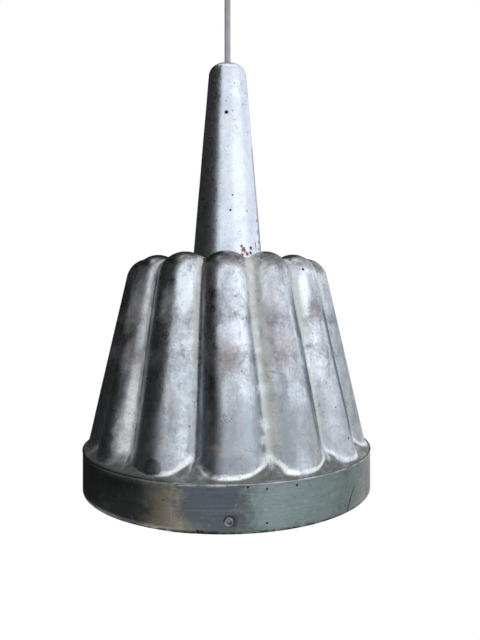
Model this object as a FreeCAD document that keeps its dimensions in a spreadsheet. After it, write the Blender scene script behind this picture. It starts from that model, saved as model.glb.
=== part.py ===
# Pendant lamp: a fluted cake mould hung mouth down as the shade, a tall closed
# cone soldered on its crown as the neck, and a cable up to a ceiling cup.
# Units are millimetres. The origin is the middle of the ceiling face, +Z up,
# and the front of the lamp looks along -Y.
import FreeCAD, Part
import Sketcher
import math
import os
import re

V = FreeCAD.Vector
doc = FreeCAD.newDocument("PendantLamp")

# Driving sizes: alias, value, what it is
SIZES = [
    ("rim_radius", 125.0, "outer radius of the band round the mouth"),
    ("band_height", 31.5, "height of the band"),
    ("band_sheet", 0.8, "thickness of the band strip"),
    ("band_lip", 0.5, "how far the band's top edge is turned out"),
    ("band_lip_height", 1.3, "height of that turned edge"),
    ("lap_angle", 16.0, "degrees over which the strip's outer end rides up"),
    ("lap_side", 17.8, "degrees from the first flute to the strip's outer end"),
    ("lap_corner", 8.0, "corner radius of the strip's outer end"),
    ("lap_setback", 2.2, "how far the lap's top stays under the band's edge"),
    ("sheet_gap", 0.1, "play between nested sheets"),
    ("mould_sheet", 1.0, "wall of the fluted mould"),
    ("flute_count", 14.0, "flutes round the mould"),
    ("front_turn", 1.8, "degrees from the front to the first flute"),
    ("flange_setback", 0.7, "how far the flange starts below the band's edge"),
    ("flange_rise", 6.2, "rise of the flange to its inner edge"),
    ("flange_width", 20.0, "radial width of the flange"),
    ("toe_inset", 1.5, "from the skirt in to the foot of the flutes"),
    ("flute_root_depth", 7.0, "how far the flutes start under the flange"),
    ("flute_root_lobe", 26.4, "lobe radius of a flute at its root"),
    ("flute_head_lobe", 20.0, "radius of a flute's ball head"),
    ("flute_head_ring", 69.3, "radius of the ring of head centres"),
    ("flute_head_height", 174.0, "height of the head centres over the mouth"),
    ("valley_round", 5.0, "hollow between two flutes"),
    ("foot_round", 1.6, "hollow where flutes meet the flange"),
    ("crown_round", 3.0, "hollow where heads meet the crown"),
    ("crown_rise", 9.0, "crown sheet above the head centres"),
    ("crown_inset", 1.8, "crown sheet's edge inside the head centres"),
    ("collar_height", 6.0, "upturned collar that locates the neck"),
    ("neck_height", 185.5, "height of the neck"),
    ("neck_base_radius", 32.1, "outer radius at the neck's foot"),
    ("neck_top_radius", 16.3, "outer radius at the neck's top corner"),
    ("neck_sheet", 0.8, "wall of the neck"),
    ("neck_round", 8.0, "round of the neck's top corner"),
    ("rivet_height", 8.5, "height of the rivets over the mouth"),
    ("rivet_count", 3.0, "rivets round the band"),
    ("rivet_head_radius", 3.4, "radius of a rivet's domed head"),
    ("rivet_head_height", 1.7, "height of that head"),
    ("rivet_shank_radius", 1.6, "radius of a rivet's shank"),
    ("rivet_tail_radius", 2.8, "radius of the closed end inside"),
    ("rivet_tail_height", 1.0, "height of the closed end inside"),
    ("rivet_play", 0.1, "play of a rivet's closed end on the curved sheet"),
    ("cord_drop", 67.5, "free cord between grip and neck"),
    ("cord_radius", 2.75, "radius of the cord"),
    ("cord_play", 0.25, "play round the cord in its bores"),
    ("thread_radius", 5.0, "outer radius of the threaded tubes"),
    ("tube_bore", 4.1, "bore radius of the threaded tubes"),
    ("fit", 0.15, "play of bores round tubes and screws"),
    ("hanger_length", 130.0, "hanger tube below the top of the neck"),
    ("hanger_flange_radius", 6.5, "radius of the hanger tube's flange"),
    ("hanger_flange_height", 1.2, "thickness of that flange"),
    ("bush_flange_radius", 4.5, "radius of the bush's flange"),
    ("bush_flange_height", 1.2, "thickness of the bush's flange"),
    ("bush_stem", 6.0, "length of the bush's stem"),
    ("washer_radius", 8.2, "radius of the washer under the neck's top"),
    ("washer_sheet", 1.2, "thickness of that washer"),
    ("nut_corner_radius", 7.9, "radius over the corners of the thin nuts"),
    ("nut_height", 3.0, "height of the thin nuts"),
    ("holder_radius", 19.5, "outer radius of the lampholder"),
    ("holder_wall", 2.2, "wall of the lampholder"),
    ("cap_height", 15.0, "height of the lampholder's cap"),
    ("cap_side", 5.0, "straight side of the cap"),
    ("boss_radius", 8.5, "radius of the cap's threaded boss"),
    ("boss_height", 7.0, "height of that boss"),
    ("locking_screw_radius", 1.5, "grub screw in the boss"),
    ("shell_length", 44.0, "length of the lampholder's shell"),
    ("block_radius", 16.9, "radius of the ceramic contact block"),
    ("block_height", 12.0, "height of that block"),
    ("ledge_sheet", 2.0, "ledge in the shell under the block"),
    ("liner_radius", 14.0, "outer radius of the threaded liner"),
    ("liner_sheet", 0.5, "sheet of the liner"),
    ("liner_length", 25.0, "length of the liner"),
    ("tongue_drop", 2.4, "drop of the middle contact's tongue"),
    ("tongue_width", 5.0, "width of the middle contact"),
    ("tongue_length", 14.0, "length of the middle contact"),
    ("tongue_sheet", 0.6, "sheet of the middle contact"),
    ("terminal_offset", 8.5, "terminal screws off the middle"),
    ("terminal_head_radius", 2.6, "radius of a terminal screw's head"),
    ("terminal_head_height", 2.0, "height of that head"),
    ("terminal_shank_radius", 1.4, "radius of a terminal screw"),
    ("terminal_shank_length", 7.0, "length of a terminal screw in the block"),
    ("bulb_radius", 30.0, "radius of the bulb's globe"),
    ("bulb_flare", 20.0, "half angle of the bulb's neck in degrees"),
    ("bulb_base_radius", 13.2, "radius of the bulb's screw base"),
    ("bulb_base_length", 24.0, "length of the screw base"),
    ("bulb_tip_radius", 5.0, "radius of the base's end contact"),
    ("bulb_tip_height", 2.0, "height of the end contact"),
    ("bulb_glass_length", 78.0, "glass below the screw base"),
    ("cup_height", 62.0, "height of the ceiling cup"),
    ("cup_radius", 50.0, "radius of the ceiling cup"),
    ("cup_side", 16.0, "straight side of the cup"),
    ("cup_neck_radius", 13.0, "radius of the cup's small end"),
    ("cup_sheet", 1.0, "wall of the cup"),
    ("cup_round", 9.0, "round of the cup's shoulder"),
    ("grip_length", 16.0, "length of the cord grip"),
    ("grip_radius", 8.0, "radius of the cord grip"),
    ("grip_socket", 6.0, "threaded socket of the grip"),
    ("mouth_depth", 3.0, "depth of the grip's flared mouth"),
    ("swing_angle", 15.0, "swing of the lamp each way in degrees"),
    ("swing_gap", 1.0, "gap in the cord at the bend"),
    ("grip_screw_radius", 2.0, "screw that clamps the cord"),
    ("grip_screw_stand", 1.0, "how far that screw stands out"),
    ("bar_depth", 22.0, "bracket bar's middle below the ceiling"),
    ("bar_sheet", 1.5, "thickness of the bracket bar"),
    ("bar_width", 16.0, "width of the bracket bar"),
    ("bar_flat", 24.0, "half length of the bar's middle"),
    ("bar_foot_start", 29.0, "where each foot of the bar starts"),
    ("bar_reach", 43.0, "half length of the whole bar"),
    ("bar_hole_offset", 36.0, "fixing holes off the middle"),
    ("bar_hole_radius", 2.25, "radius of the fixing holes"),
    ("nipple_rise", 5.5, "tube above the bracket bar"),
    ("block_gap", 2.2, "from the nut's corner to the terminal block"),
    ("terminal_length", 11.0, "length of the ceiling terminal block"),
    ("terminal_width", 14.0, "width of that block"),
    ("terminal_height", 12.0, "height of that block"),
    ("terminal_bore", 1.3, "radius of its wire holes"),
]

# Sizes that follow from the others, as text over the aliases above
FOLLOWS = {
    "skirt_radius": "(rim_radius - band_sheet - sheet_gap)",
    "flange_z": "(band_height - flange_setback)",
    "flange_top": "(flange_z + flange_rise)",
    "flange_inner": "(skirt_radius - flange_width)",
    "root_z": "(flange_z - flute_root_depth)",
    "root_ring": "(skirt_radius - toe_inset - flute_root_lobe + 1.1)",
    "crown_z": "(flute_head_height + crown_rise)",
    "crown_edge": "(flute_head_ring - crown_inset)",
    "neck_slope": "((neck_base_radius - neck_top_radius) / neck_height)",
    "collar_radius": "(neck_base_radius - neck_slope * collar_height - neck_sheet - sheet_gap)",
    "bore_radius": "(thread_radius + fit)",
    "cord_bore": "(cord_radius + cord_play)",
    "neck_top": "(0 - cup_height - grip_length - cord_drop)",
    "rim_z": "(neck_top - neck_height - crown_z)",
    "hanger_end": "(neck_top - hanger_length)",
    "cap_z": "(hanger_end - cap_height + holder_wall)",
    "block_z": "(cap_z - block_height)",
    "shell_z": "(cap_z - shell_length)",
    "bush_z": "(neck_top + hanger_flange_height - bush_stem)",
    "pivot_z": "(0 - cup_height - grip_length + mouth_depth)",
    "mouth_radius": "(mouth_depth * tan(swing_angle) + cord_bore / cos(swing_angle) + fit)",
    "bar_z": "(0 - bar_depth)",
    "nipple_z": "(0 - cup_height - grip_socket + fit)",
    "nipple_length": "(bar_z + nipple_rise - nipple_z)",
    "tail_z": "(pivot_z + swing_gap)",
    "bulb_z": "(block_z - tongue_drop - fit - bulb_tip_height - bulb_base_length - bulb_glass_length)",
}

dims = doc.addObject("Spreadsheet::Sheet", "Dims")
for row, (alias, value, note) in enumerate(SIZES, start=1):
    dims.set(f"A{row}", note)
    dims.set(f"B{row}", str(value))
    dims.setAlias(f"B{row}", alias)
doc.recompute()

ALIASES = {alias for alias, value, note in SIZES}
WORD = re.compile(r"[a-z_]+")


def bind(text):
    """Write a size as an expression over the sheet's aliases."""
    def swap(found):
        word = found.group(0)
        if word in FOLLOWS:
            return bind(FOLLOWS[word])
        return f"Dims.{word}" if word in ALIASES else word
    return WORD.sub(swap, str(text))


def size(text):
    """Read the same expression as a number, for picking edges and first guesses."""
    def swap(found):
        word = found.group(0)
        if word in FOLLOWS:
            return "(" + str(size(FOLLOWS[word])) + ")"
        if word in ALIASES:
            return repr(float(getattr(dims, word)))
        return word
    return read(WORD.sub(swap, str(text)))


def read(text):
    """Add, multiply and take sines without the sheet, for plain texts."""
    probe.setExpression("Placement.Base.x", text)
    probe.recompute()
    return probe.Placement.Base.x


probe = doc.addObject("Part::Feature", "Probe")


def place(part, z="0", x="0", y="0", turn=0.0, axis=V(0, 0, 1)):
    part.Placement = FreeCAD.Placement(V(0, 0, 0), FreeCAD.Rotation(axis, turn))
    for name, text in (("x", x), ("y", y), ("z", z)):
        part.setExpression(f"Placement.Base.{name}", bind(text))
    return part


def new_body(label):
    body = doc.addObject("PartDesign::Body", label)
    body.Label = label
    return body


def origin_item(body, role):
    return next(item for item in body.Origin.OriginFeatures if item.Role == role)


def new_sketch(body, name, plane="XZ_Plane"):
    sketch = body.newObject("Sketcher::SketchObject", name)
    sketch.AttachmentSupport = [(origin_item(body, plane), "")]
    sketch.MapMode = "FlatFace"
    return sketch


def pin(sketch, geo, end, x, y):
    """Hold one sketch point at the expressions x, y."""
    for kind, text, axis in (("DistanceX", x, -2), ("DistanceY", y, -1)):
        if str(text) == "0":
            sketch.addConstraint(Sketcher.Constraint("PointOnObject", geo, end, axis))
        else:
            number = sketch.addConstraint(
                Sketcher.Constraint(kind, -1, 1, geo, end, size(text)))
            sketch.setExpression(f"Constraints[{number}]", bind(text))


def outline(sketch, points):
    """Draw a closed outline whose corners are held by expressions."""
    spots = [V(size(x), size(y), 0) for x, y in points]
    first = sketch.GeometryCount
    for a, b in zip(spots, spots[1:] + spots[:1]):
        sketch.addGeometry(Part.LineSegment(a, b), False)
    count = len(points)
    for i in range(count):
        sketch.addConstraint(Sketcher.Constraint(
            "Coincident", first + i, 2, first + (i + 1) % count, 1))
    for i, (x, y) in enumerate(points):
        pin(sketch, first + i, 1, x, y)
    return sketch


def ring_circle(sketch, x, y, radius):
    geo = sketch.addGeometry(
        Part.Circle(V(size(x), size(y), 0), V(0, 0, 1), size(radius)), False)
    pin(sketch, geo, 3, x, y)
    number = sketch.addConstraint(Sketcher.Constraint("Radius", geo, size(radius)))
    sketch.setExpression(f"Constraints[{number}]", bind(radius))
    return sketch


def revolve(body, sketch, name, axis="V_Axis", cut=False):
    kind = "PartDesign::Groove" if cut else "PartDesign::Revolution"
    feature = body.newObject(kind, name)
    feature.Profile = sketch
    feature.ReferenceAxis = (sketch, [axis])
    feature.Angle = 360.0
    doc.recompute()
    return feature


def turned(label, points, z="0", **where):
    """A body turned about its own Z from one outline of radius and height."""
    body = new_body(label)
    revolve(body, outline(new_sketch(body, label + "_outline"), points), label + "_turn")
    place(body, z, **where)
    return body


def fillet(body, name, base, edges, radius):
    feature = body.newObject("PartDesign::Fillet", name)
    feature.Base = (base, edges)
    feature.Radius = size(radius)
    feature.setExpression("Radius", bind(radius))
    doc.recompute()
    return feature


def edges_of(feature, test):
    names = []
    for number, edge in enumerate(feature.Shape.Edges, start=1):
        if test(edge):
            names.append(f"Edge{number}")
    return names


def pad(body, sketch, name, length, midplane=False):
    feature = body.newObject("PartDesign::Pad", name)
    feature.Profile = sketch
    feature.Midplane = midplane
    feature.Length = size(length)
    feature.setExpression("Length", bind(length))
    doc.recompute()
    return feature


def pocket_all(body, sketch, name):
    feature = body.newObject("PartDesign::Pocket", name)
    feature.Profile = sketch
    feature.Type = "ThroughAll"
    feature.Midplane = True
    doc.recompute()
    return feature


def primitive(kind, name, **values):
    item = doc.addObject(kind, name)
    for key, text in values.items():
        if key == "Polygon":
            item.Polygon = text
        else:
            item.setExpression(key, bind(text))
    return item


def boolean(kind, label, *items):
    item = doc.addObject(kind, label)
    if kind in ("Part::Cut", "Part::Common"):
        item.Base, item.Tool = items
    else:
        item.Shapes = list(items)
    item.Label = label
    return item


def mould_form(name, shrink, z_low, z_high, hole):
    """The mould's form: a turned core with one flute copied round it.

    shrink is 0 for the outer form and the sheet for the hollow, so that the
    two are the same shape one wall apart.
    """
    body = new_body(name)
    core = outline(new_sketch(body, name + "_core"), [
        ("0", z_low), (f"skirt_radius - {shrink}", z_low),
        (f"skirt_radius - {shrink}", f"flange_z - {shrink}"),
        ("flange_inner", f"flange_top - {shrink}"),
        ("crown_edge", f"crown_z - {shrink}"),
        (hole, f"crown_z - {shrink}"), (hole, z_high), ("0", z_high)])
    revolve(body, core, name + "_core_turn")

    root = V(size("root_ring"), size("root_z"), 0)
    head = V(size("flute_head_ring"), size("flute_head_height"), 0)
    wide = size(f"flute_root_lobe - {shrink}")
    ball = size(f"flute_head_lobe - {shrink}")
    along = (head - root).normalize()
    out = V(along.y, -along.x, 0)
    tip = head + along * ball
    side = head + out * ball
    flute = new_sketch(body, name + "_flute")
    flute.addGeometry(Part.LineSegment(root, root + out * wide), False)
    flute.addGeometry(Part.LineSegment(root + out * wide, side), False)
    start = math.atan2(out.y, out.x)
    flute.addGeometry(Part.ArcOfCircle(
        Part.Circle(head, V(0, 0, 1), ball), start, start + math.pi / 2), False)
    flute.addGeometry(Part.LineSegment(tip, root), False)
    flute.addConstraint([
        Sketcher.Constraint("Coincident", 0, 2, 1, 1),
        Sketcher.Constraint("Tangent", 1, 2, 2, 1),
        Sketcher.Constraint("Coincident", 2, 2, 3, 1),
        Sketcher.Constraint("Coincident", 3, 2, 0, 1),
        Sketcher.Constraint("Perpendicular", 0, 3),
        Sketcher.Constraint("PointOnObject", 2, 3, 3)])
    pin(flute, 0, 1, "root_ring", "root_z")
    pin(flute, 2, 3, "flute_head_ring", "flute_head_height")
    for kind, geo, text in (("Distance", 0, "flute_root_lobe"), ("Radius", 2, "flute_head_lobe")):
        text = f"{text} - {shrink}"
        number = flute.addConstraint(Sketcher.Constraint(kind, geo, size(text)))
        flute.setExpression(f"Constraints[{number}]", bind(text))
    turn = body.newObject("PartDesign::Revolution", name + "_flute_turn")
    turn.Profile = flute
    turn.ReferenceAxis = (flute, ["Edge4"])
    turn.Angle = 360.0
    doc.recompute()
    pattern = body.newObject("PartDesign::PolarPattern", name + "_flutes")
    pattern.Originals = [turn]
    pattern.Axis = (origin_item(body, "Z_Axis"), [""])
    pattern.Angle = 360.0
    pattern.setExpression("Occurrences", bind("flute_count"))
    body.Tip = pattern
    doc.recompute()

    pitch = 360.0 / size("flute_count")
    crown = size(f"crown_z - {shrink}")
    flange_low = size(f"flange_z - {shrink}")
    flange_high = size(f"flange_top - {shrink}")
    skirt = size(f"skirt_radius - {shrink}")

    def spot(edge):
        middle = edge.CenterOfMass
        return math.hypot(middle.x, middle.y), math.degrees(math.atan2(middle.y, middle.x))

    def is_valley(edge):
        reach, angle = spot(edge)
        box = edge.BoundBox
        between = abs((angle / pitch) % 1.0 - 0.5) < 0.02
        return between and box.ZLength > 3 and reach > 50 and box.ZMax > flange_high + 2

    def is_crown(edge):
        box = edge.BoundBox
        inside = spot(edge)[0] > size("collar_radius") + 1 or len(edge.Vertexes) == 2
        return box.ZLength < 0.02 and abs(box.ZMax - crown) < 0.02 and inside \
            and len(edge.Vertexes) == 2

    def is_foot(edge):
        box = edge.BoundBox
        near = flange_low + 0.2 < box.ZMin and box.ZMax < flange_high + 3.5
        return len(edge.Vertexes) == 2 and near and spot(edge)[0] < skirt - 0.5

    feature = pattern
    for part, test, radius in (("valley", is_valley, "valley_round"),
                               ("crown", is_crown, "crown_round"),
                               ("foot", is_foot, "foot_round")):
        feature = fillet(body, f"{name}_{part}", feature, edges_of(feature, test),
                         f"{radius} + {shrink}")
    return body


# Shade: the mould is the outer form less the same form one sheet inside it
mould_outer = mould_form("MouldOuter", "0", "0", "crown_z + collar_height", "collar_radius")
mould_inner = mould_form("MouldInner", "mould_sheet", "0 - 1", "crown_z + collar_height + 1",
                         "collar_radius - mould_sheet")
mould_sheet_form = boolean("Part::Cut", "MouldSheet", mould_outer, mould_inner)

rivet_hole = primitive("Part::Cylinder", "RivetHole", Radius="rivet_shank_radius + fit",
                       Height="20")
rivet_hole.Placement = FreeCAD.Placement(V(0, 0, 0), FreeCAD.Rotation(V(0, 1, 0), 90))
rivet_hole.setExpression("Placement.Base.x", bind("rim_radius - 10"))
rivet_hole.setExpression("Placement.Base.z", bind("rivet_height"))
rivet_holes = []
for i in range(int(size("rivet_count"))):
    angle = 360.0 / size("rivet_count") * i
    hole = doc.addObject("Part::Feature", f"RivetHole{i}")
    doc.recompute()
    shape = rivet_hole.Shape.copy()
    shape.rotate(V(0, 0, 0), V(0, 0, 1), angle)
    hole.Shape = shape
    rivet_holes.append(hole)
hole_set = boolean("Part::MultiFuse", "RivetHoles", *rivet_holes)
front = size("front_turn") - 90
fluted_mould = boolean("Part::Cut", "fluted_mould", mould_sheet_form, hole_set)
place(fluted_mould, "rim_z", turn=front)

# Band: a strip bent round the skirt, its outer end lapped over the start
band = new_body("BandStrip")
revolve(band, outline(new_sketch(band, "BandSection"), [
    ("rim_radius - band_sheet", "0"), ("rim_radius", "0"),
    ("rim_radius", "band_height - band_lip_height"),
    ("rim_radius + band_lip", "band_height"),
    ("rim_radius - band_sheet", "band_height")]), "BandRing")


def on_arc(radius, degrees):
    turn = math.radians(degrees)
    return V(radius * math.cos(turn), radius * math.sin(turn), 0)


lap_in = size("rim_radius - band_sheet / 2")
lap_out = size("rim_radius + band_sheet")
lap_top = size("band_height - lap_setback")
lap_angle = size("lap_angle")
crescent = Part.Wire([
    Part.LineSegment(on_arc(lap_in, 0), on_arc(lap_out, 0)).toShape(),
    Part.Arc(on_arc(lap_out, 0), on_arc(lap_out - 0.35 * (lap_out - lap_in), lap_angle / 2),
             on_arc(lap_in, lap_angle)).toShape(),
    Part.Arc(on_arc(lap_in, lap_angle), on_arc(lap_in, lap_angle / 2),
             on_arc(lap_in, 0)).toShape()])
layer = Part.Face(crescent).extrude(V(0, 0, lap_top))
corner = [edge for edge in layer.Edges
          if edge.BoundBox.YLength < 0.001 and edge.BoundBox.ZLength < 0.001
          and abs(edge.CenterOfMass.z - lap_top) < 0.001]
lap = doc.addObject("Part::Feature", "BandLap")
lap.Shape = layer.makeFillet(size("lap_corner"), corner)
lap.Placement = FreeCAD.Placement(V(0, 0, 0), FreeCAD.Rotation(V(0, 0, 1), -size("lap_side")))
band_whole = boolean("Part::MultiFuse", "BandWhole", band, lap)
rim_band = boolean("Part::Cut", "rim_band", band_whole, hole_set)
place(rim_band, "rim_z", turn=front)

# Rivets that hold the band, and once the lid: domed outside, closed over inside
grip_depth = "(band_sheet + sheet_gap + mould_sheet + rivet_play)"
for i, side in zip(range(int(size("rivet_count"))), ("front", "right", "left", "rear", "spare")):
    rivet = new_body(f"band_rivet_{side}")
    section = outline(new_sketch(rivet, f"RivetSection{i}"), [
        ("0", "0"), ("rivet_tail_radius", "0"),
        ("rivet_tail_radius", "rivet_tail_height"),
        ("rivet_shank_radius", "rivet_tail_height"),
        ("rivet_shank_radius", f"rivet_tail_height + {grip_depth}"),
        ("rivet_head_radius", f"rivet_tail_height + {grip_depth}"),
        ("rivet_head_radius", f"rivet_tail_height + {grip_depth} + rivet_head_height"),
        ("0", f"rivet_tail_height + {grip_depth} + rivet_head_height")])
    turn = revolve(rivet, section, f"RivetTurn{i}")
    top = size(f"rivet_tail_height + {grip_depth} + rivet_head_height")
    rim = edges_of(turn, lambda edge: abs(edge.BoundBox.ZMin - top) < 0.001)
    fillet(rivet, f"RivetDome{i}", turn, rim, "rivet_head_height * 0.8")
    angle = front + 360.0 / size("rivet_count") * i
    spin = FreeCAD.Rotation(V(0, 0, 1), angle) * FreeCAD.Rotation(V(0, 1, 0), 90)
    reach = size(f"rim_radius - {grip_depth} - rivet_tail_height")
    base = FreeCAD.Rotation(V(0, 0, 1), angle).multVec(V(reach, 0, 0))
    rivet.Placement = FreeCAD.Placement(V(base.x, base.y, 0), spin)
    rivet.setExpression("Placement.Base.z", bind("rim_z + rivet_height"))

# Neck: a tall closed cone with a rounded top, standing on the crown
def neck_form(name, sheet):
    body = new_body(name)
    turn = revolve(body, outline(new_sketch(body, name + "_outline"), [
        ("0", "0"), (f"neck_base_radius - {sheet}", "0"),
        (f"neck_top_radius - {sheet}", f"neck_height - {sheet}"),
        ("0", f"neck_height - {sheet}")]), name + "_turn")
    top = size(f"neck_height - {sheet}")
    rim = edges_of(turn, lambda edge: abs(edge.BoundBox.ZMin - top) < 0.001
                   and edge.BoundBox.YLength > 1)
    fillet(body, name + "_round", turn, rim, f"neck_round - {sheet}")
    return body


neck_bore = primitive("Part::Cylinder", "NeckBore", Radius="bore_radius",
                      Height="neck_height + 1")
neck_hollow = boolean("Part::MultiFuse", "NeckHollow", neck_form("NeckInner", "neck_sheet"),
                      neck_bore)
neck_cone = boolean("Part::Cut", "neck_cone", neck_form("NeckOuter", "0"), neck_hollow)
place(neck_cone, "neck_top - neck_height")

# Hanger: a flanged threaded tube through the neck's top, clamped from below
turned("hanger_tube", [
    ("tube_bore", "0"), ("thread_radius", "0"), ("thread_radius", "hanger_length"),
    ("hanger_flange_radius", "hanger_length"),
    ("hanger_flange_radius", "hanger_length + hanger_flange_height"),
    ("tube_bore", "hanger_length + hanger_flange_height")], "hanger_end")
turned("edge_bush", [
    ("cord_bore", "0"), ("tube_bore - fit", "0"), ("tube_bore - fit", "bush_stem"),
    ("bush_flange_radius", "bush_stem"),
    ("bush_flange_radius", "bush_stem + bush_flange_height * 0.5"),
    ("bush_flange_radius - 0.6", "bush_stem + bush_flange_height"),
    ("cord_bore", "bush_stem + bush_flange_height")], "bush_z")
turned("neck_washer", [
    ("bore_radius", "0"), ("washer_radius", "0"), ("washer_radius", "washer_sheet"),
    ("bore_radius", "washer_sheet")], "neck_top - neck_sheet - washer_sheet")


def thin_nut(label, z):
    hexagon = primitive("Part::Prism", label + "_hexagon", Polygon=6,
                        Circumradius="nut_corner_radius", Height="nut_height")
    bore = primitive("Part::Cylinder", label + "_bore", Radius="bore_radius",
                     Height="nut_height")
    return place(boolean("Part::Cut", label, hexagon, bore), z)


thin_nut("neck_nut", "neck_top - neck_sheet - washer_sheet - nut_height")
thin_nut("holder_lock_nut", "cap_z + cap_height + boss_height")

# Lampholder: cap on the tube, shell screwed to it, block, liner and contacts
cap = turned("holder_cap_form", [
    ("holder_radius - holder_wall", "0"), ("holder_radius", "0"),
    ("holder_radius", "cap_side"), ("boss_radius + 2", "cap_height"),
    ("boss_radius", "cap_height"), ("boss_radius", "cap_height + boss_height"),
    ("bore_radius", "cap_height + boss_height"),
    ("bore_radius", "cap_height - holder_wall"),
    ("boss_radius + 1", "cap_height - holder_wall"),
    ("holder_radius - holder_wall", "cap_side - 1")])
screw_way = primitive("Part::Cylinder", "LockingScrewHole",
                      Radius="locking_screw_radius + fit / 2", Height="boss_radius + 2")
screw_way.Placement = FreeCAD.Placement(V(0, 0, 0), FreeCAD.Rotation(V(0, 1, 0), 90))
screw_way.setExpression("Placement.Base.x", bind("bore_radius - 0.5"))
screw_way.setExpression("Placement.Base.z", bind("cap_height + boss_height / 2"))
holder_cap = place(boolean("Part::Cut", "holder_cap", cap, screw_way), "cap_z")
screw = turned("locking_screw", [
    ("0", "0"), ("locking_screw_radius", "0"),
    ("locking_screw_radius", "boss_radius - bore_radius + fit"),
    ("0", "boss_radius - bore_radius + fit")])
screw.Placement = FreeCAD.Placement(V(0, 0, 0), FreeCAD.Rotation(V(0, 1, 0), 90))
screw.setExpression("Placement.Base.x", bind("thread_radius"))
screw.setExpression("Placement.Base.z", bind("cap_z + cap_height + boss_height / 2"))

turned("holder_shell", [
    ("holder_radius - holder_wall", "0"), ("holder_radius", "0"),
    ("holder_radius", "shell_length"), ("holder_radius - holder_wall", "shell_length"),
    ("holder_radius - holder_wall", "shell_length - block_height"),
    ("liner_radius + 0.6", "shell_length - block_height"),
    ("liner_radius + 0.6", "shell_length - block_height - ledge_sheet"),
    ("holder_radius - holder_wall", "shell_length - block_height - ledge_sheet")],
    "shell_z")

contact_block = new_body("contact_block")
pad(contact_block, ring_circle(new_sketch(contact_block, "BlockDisc", "XY_Plane"),
                               "0", "0", "block_radius"), "BlockPad", "block_height")
ways = new_sketch(contact_block, "BlockWays", "XY_Plane")
ring_circle(ways, "terminal_offset", "0", "terminal_shank_radius + fit")
ring_circle(ways, "0 - terminal_offset", "0", "terminal_shank_radius + fit")
pocket_all(contact_block, ways, "BlockWaysCut")
place(contact_block, "block_z")

for side, sign in (("live", "0 - "), ("neutral", "")):
    turned(f"{side}_terminal_screw", [
        ("0", "0"), ("terminal_shank_radius", "0"),
        ("terminal_shank_radius", "terminal_shank_length"),
        ("terminal_head_radius", "terminal_shank_length"),
        ("terminal_head_radius", "terminal_shank_length + terminal_head_height"),
        ("0", "terminal_shank_length + terminal_head_height")],
        "cap_z - terminal_shank_length", x=f"{sign}terminal_offset")

turned("threaded_liner", [
    ("liner_radius - liner_sheet", "0"), ("liner_radius", "0"),
    ("liner_radius", "liner_length"), ("liner_radius - liner_sheet", "liner_length")],
    "block_z - liner_length")

tongue = new_body("middle_contact")
pad(tongue, outline(new_sketch(tongue, "TongueSide"), [
    ("0 - tongue_length / 2", "tongue_drop"),
    ("0 - tongue_length / 4", "tongue_drop"),
    ("0 - tongue_length / 8", "tongue_sheet"),
    ("tongue_length / 4", "tongue_sheet"),
    ("tongue_length / 2", "tongue_sheet + 0.4"),
    ("tongue_length / 2", "0.4"),
    ("tongue_length / 4", "0"),
    ("0 - tongue_length / 8 - 0.2", "0"),
    ("0 - tongue_length / 4 - 0.2", "tongue_drop - tongue_sheet"),
    ("0 - tongue_length / 2", "tongue_drop - tongue_sheet")]),
    "TonguePad", "tongue_width", midplane=True)
place(tongue, "block_z - tongue_drop")

# Bulb: one sealed piece, globe, tapering neck, screw base and end contact
globe = primitive("Part::Sphere", "BulbGlobe", Radius="bulb_radius")
globe.setExpression("Placement.Base.z", bind("bulb_radius"))
flare_start = "bulb_radius + bulb_radius * sin(bulb_flare)"
flare = primitive("Part::Cone", "BulbNeck", Radius1="bulb_radius * cos(bulb_flare)",
                  Radius2="bulb_base_radius + 1",
                  Height=f"bulb_glass_length - ({flare_start})")
flare.setExpression("Placement.Base.z", bind(flare_start))
base = primitive("Part::Cylinder", "BulbBase", Radius="bulb_base_radius",
                 Height="bulb_base_length + 1")
base.setExpression("Placement.Base.z", bind("bulb_glass_length - 1"))
tip = primitive("Part::Cylinder", "BulbTip", Radius="bulb_tip_radius",
                Height="bulb_tip_height + 1")
tip.setExpression("Placement.Base.z", bind("bulb_glass_length + bulb_base_length - 1"))
place(boolean("Part::MultiFuse", "bulb", globe, flare, base, tip), "bulb_z")

# Cord: the free stretch, the stretch inside the hanger, and the tail above
turned("cord", [("0", "0"), ("cord_radius", "0"), ("cord_radius", "pivot_z - bush_z"),
                ("0", "pivot_z - bush_z")], "bush_z")
turned("inner_cord", [
    ("0", "0"), ("cord_radius", "0"), ("cord_radius", "bush_z - hanger_end"),
    ("0", "bush_z - hanger_end")], "hanger_end")
turned("cord_tail", [
    ("0", "0"), ("cord_radius", "0"),
    ("cord_radius", "nipple_z + nipple_length + 1 - tail_z"),
    ("0", "nipple_z + nipple_length + 1 - tail_z")], "tail_z")

# Ceiling cup: an open bell, clamped by the cord grip on the bracket's tube
cup = new_body("ceiling_cup")
turn = revolve(cup, outline(new_sketch(cup, "CupOutside"), [
    ("0", "0"), ("cup_neck_radius", "0"), ("cup_radius", "cup_height - cup_side"),
    ("cup_radius", "cup_height"), ("0", "cup_height")]), "CupTurn")
shoulder = size("cup_height - cup_side")


def is_shoulder(edge):
    box = edge.BoundBox
    return abs(box.ZMin - shoulder) < 0.001 and abs(box.ZMax - shoulder) < 0.001 \
        and box.XLength > 1 and box.YLength > 1


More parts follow.
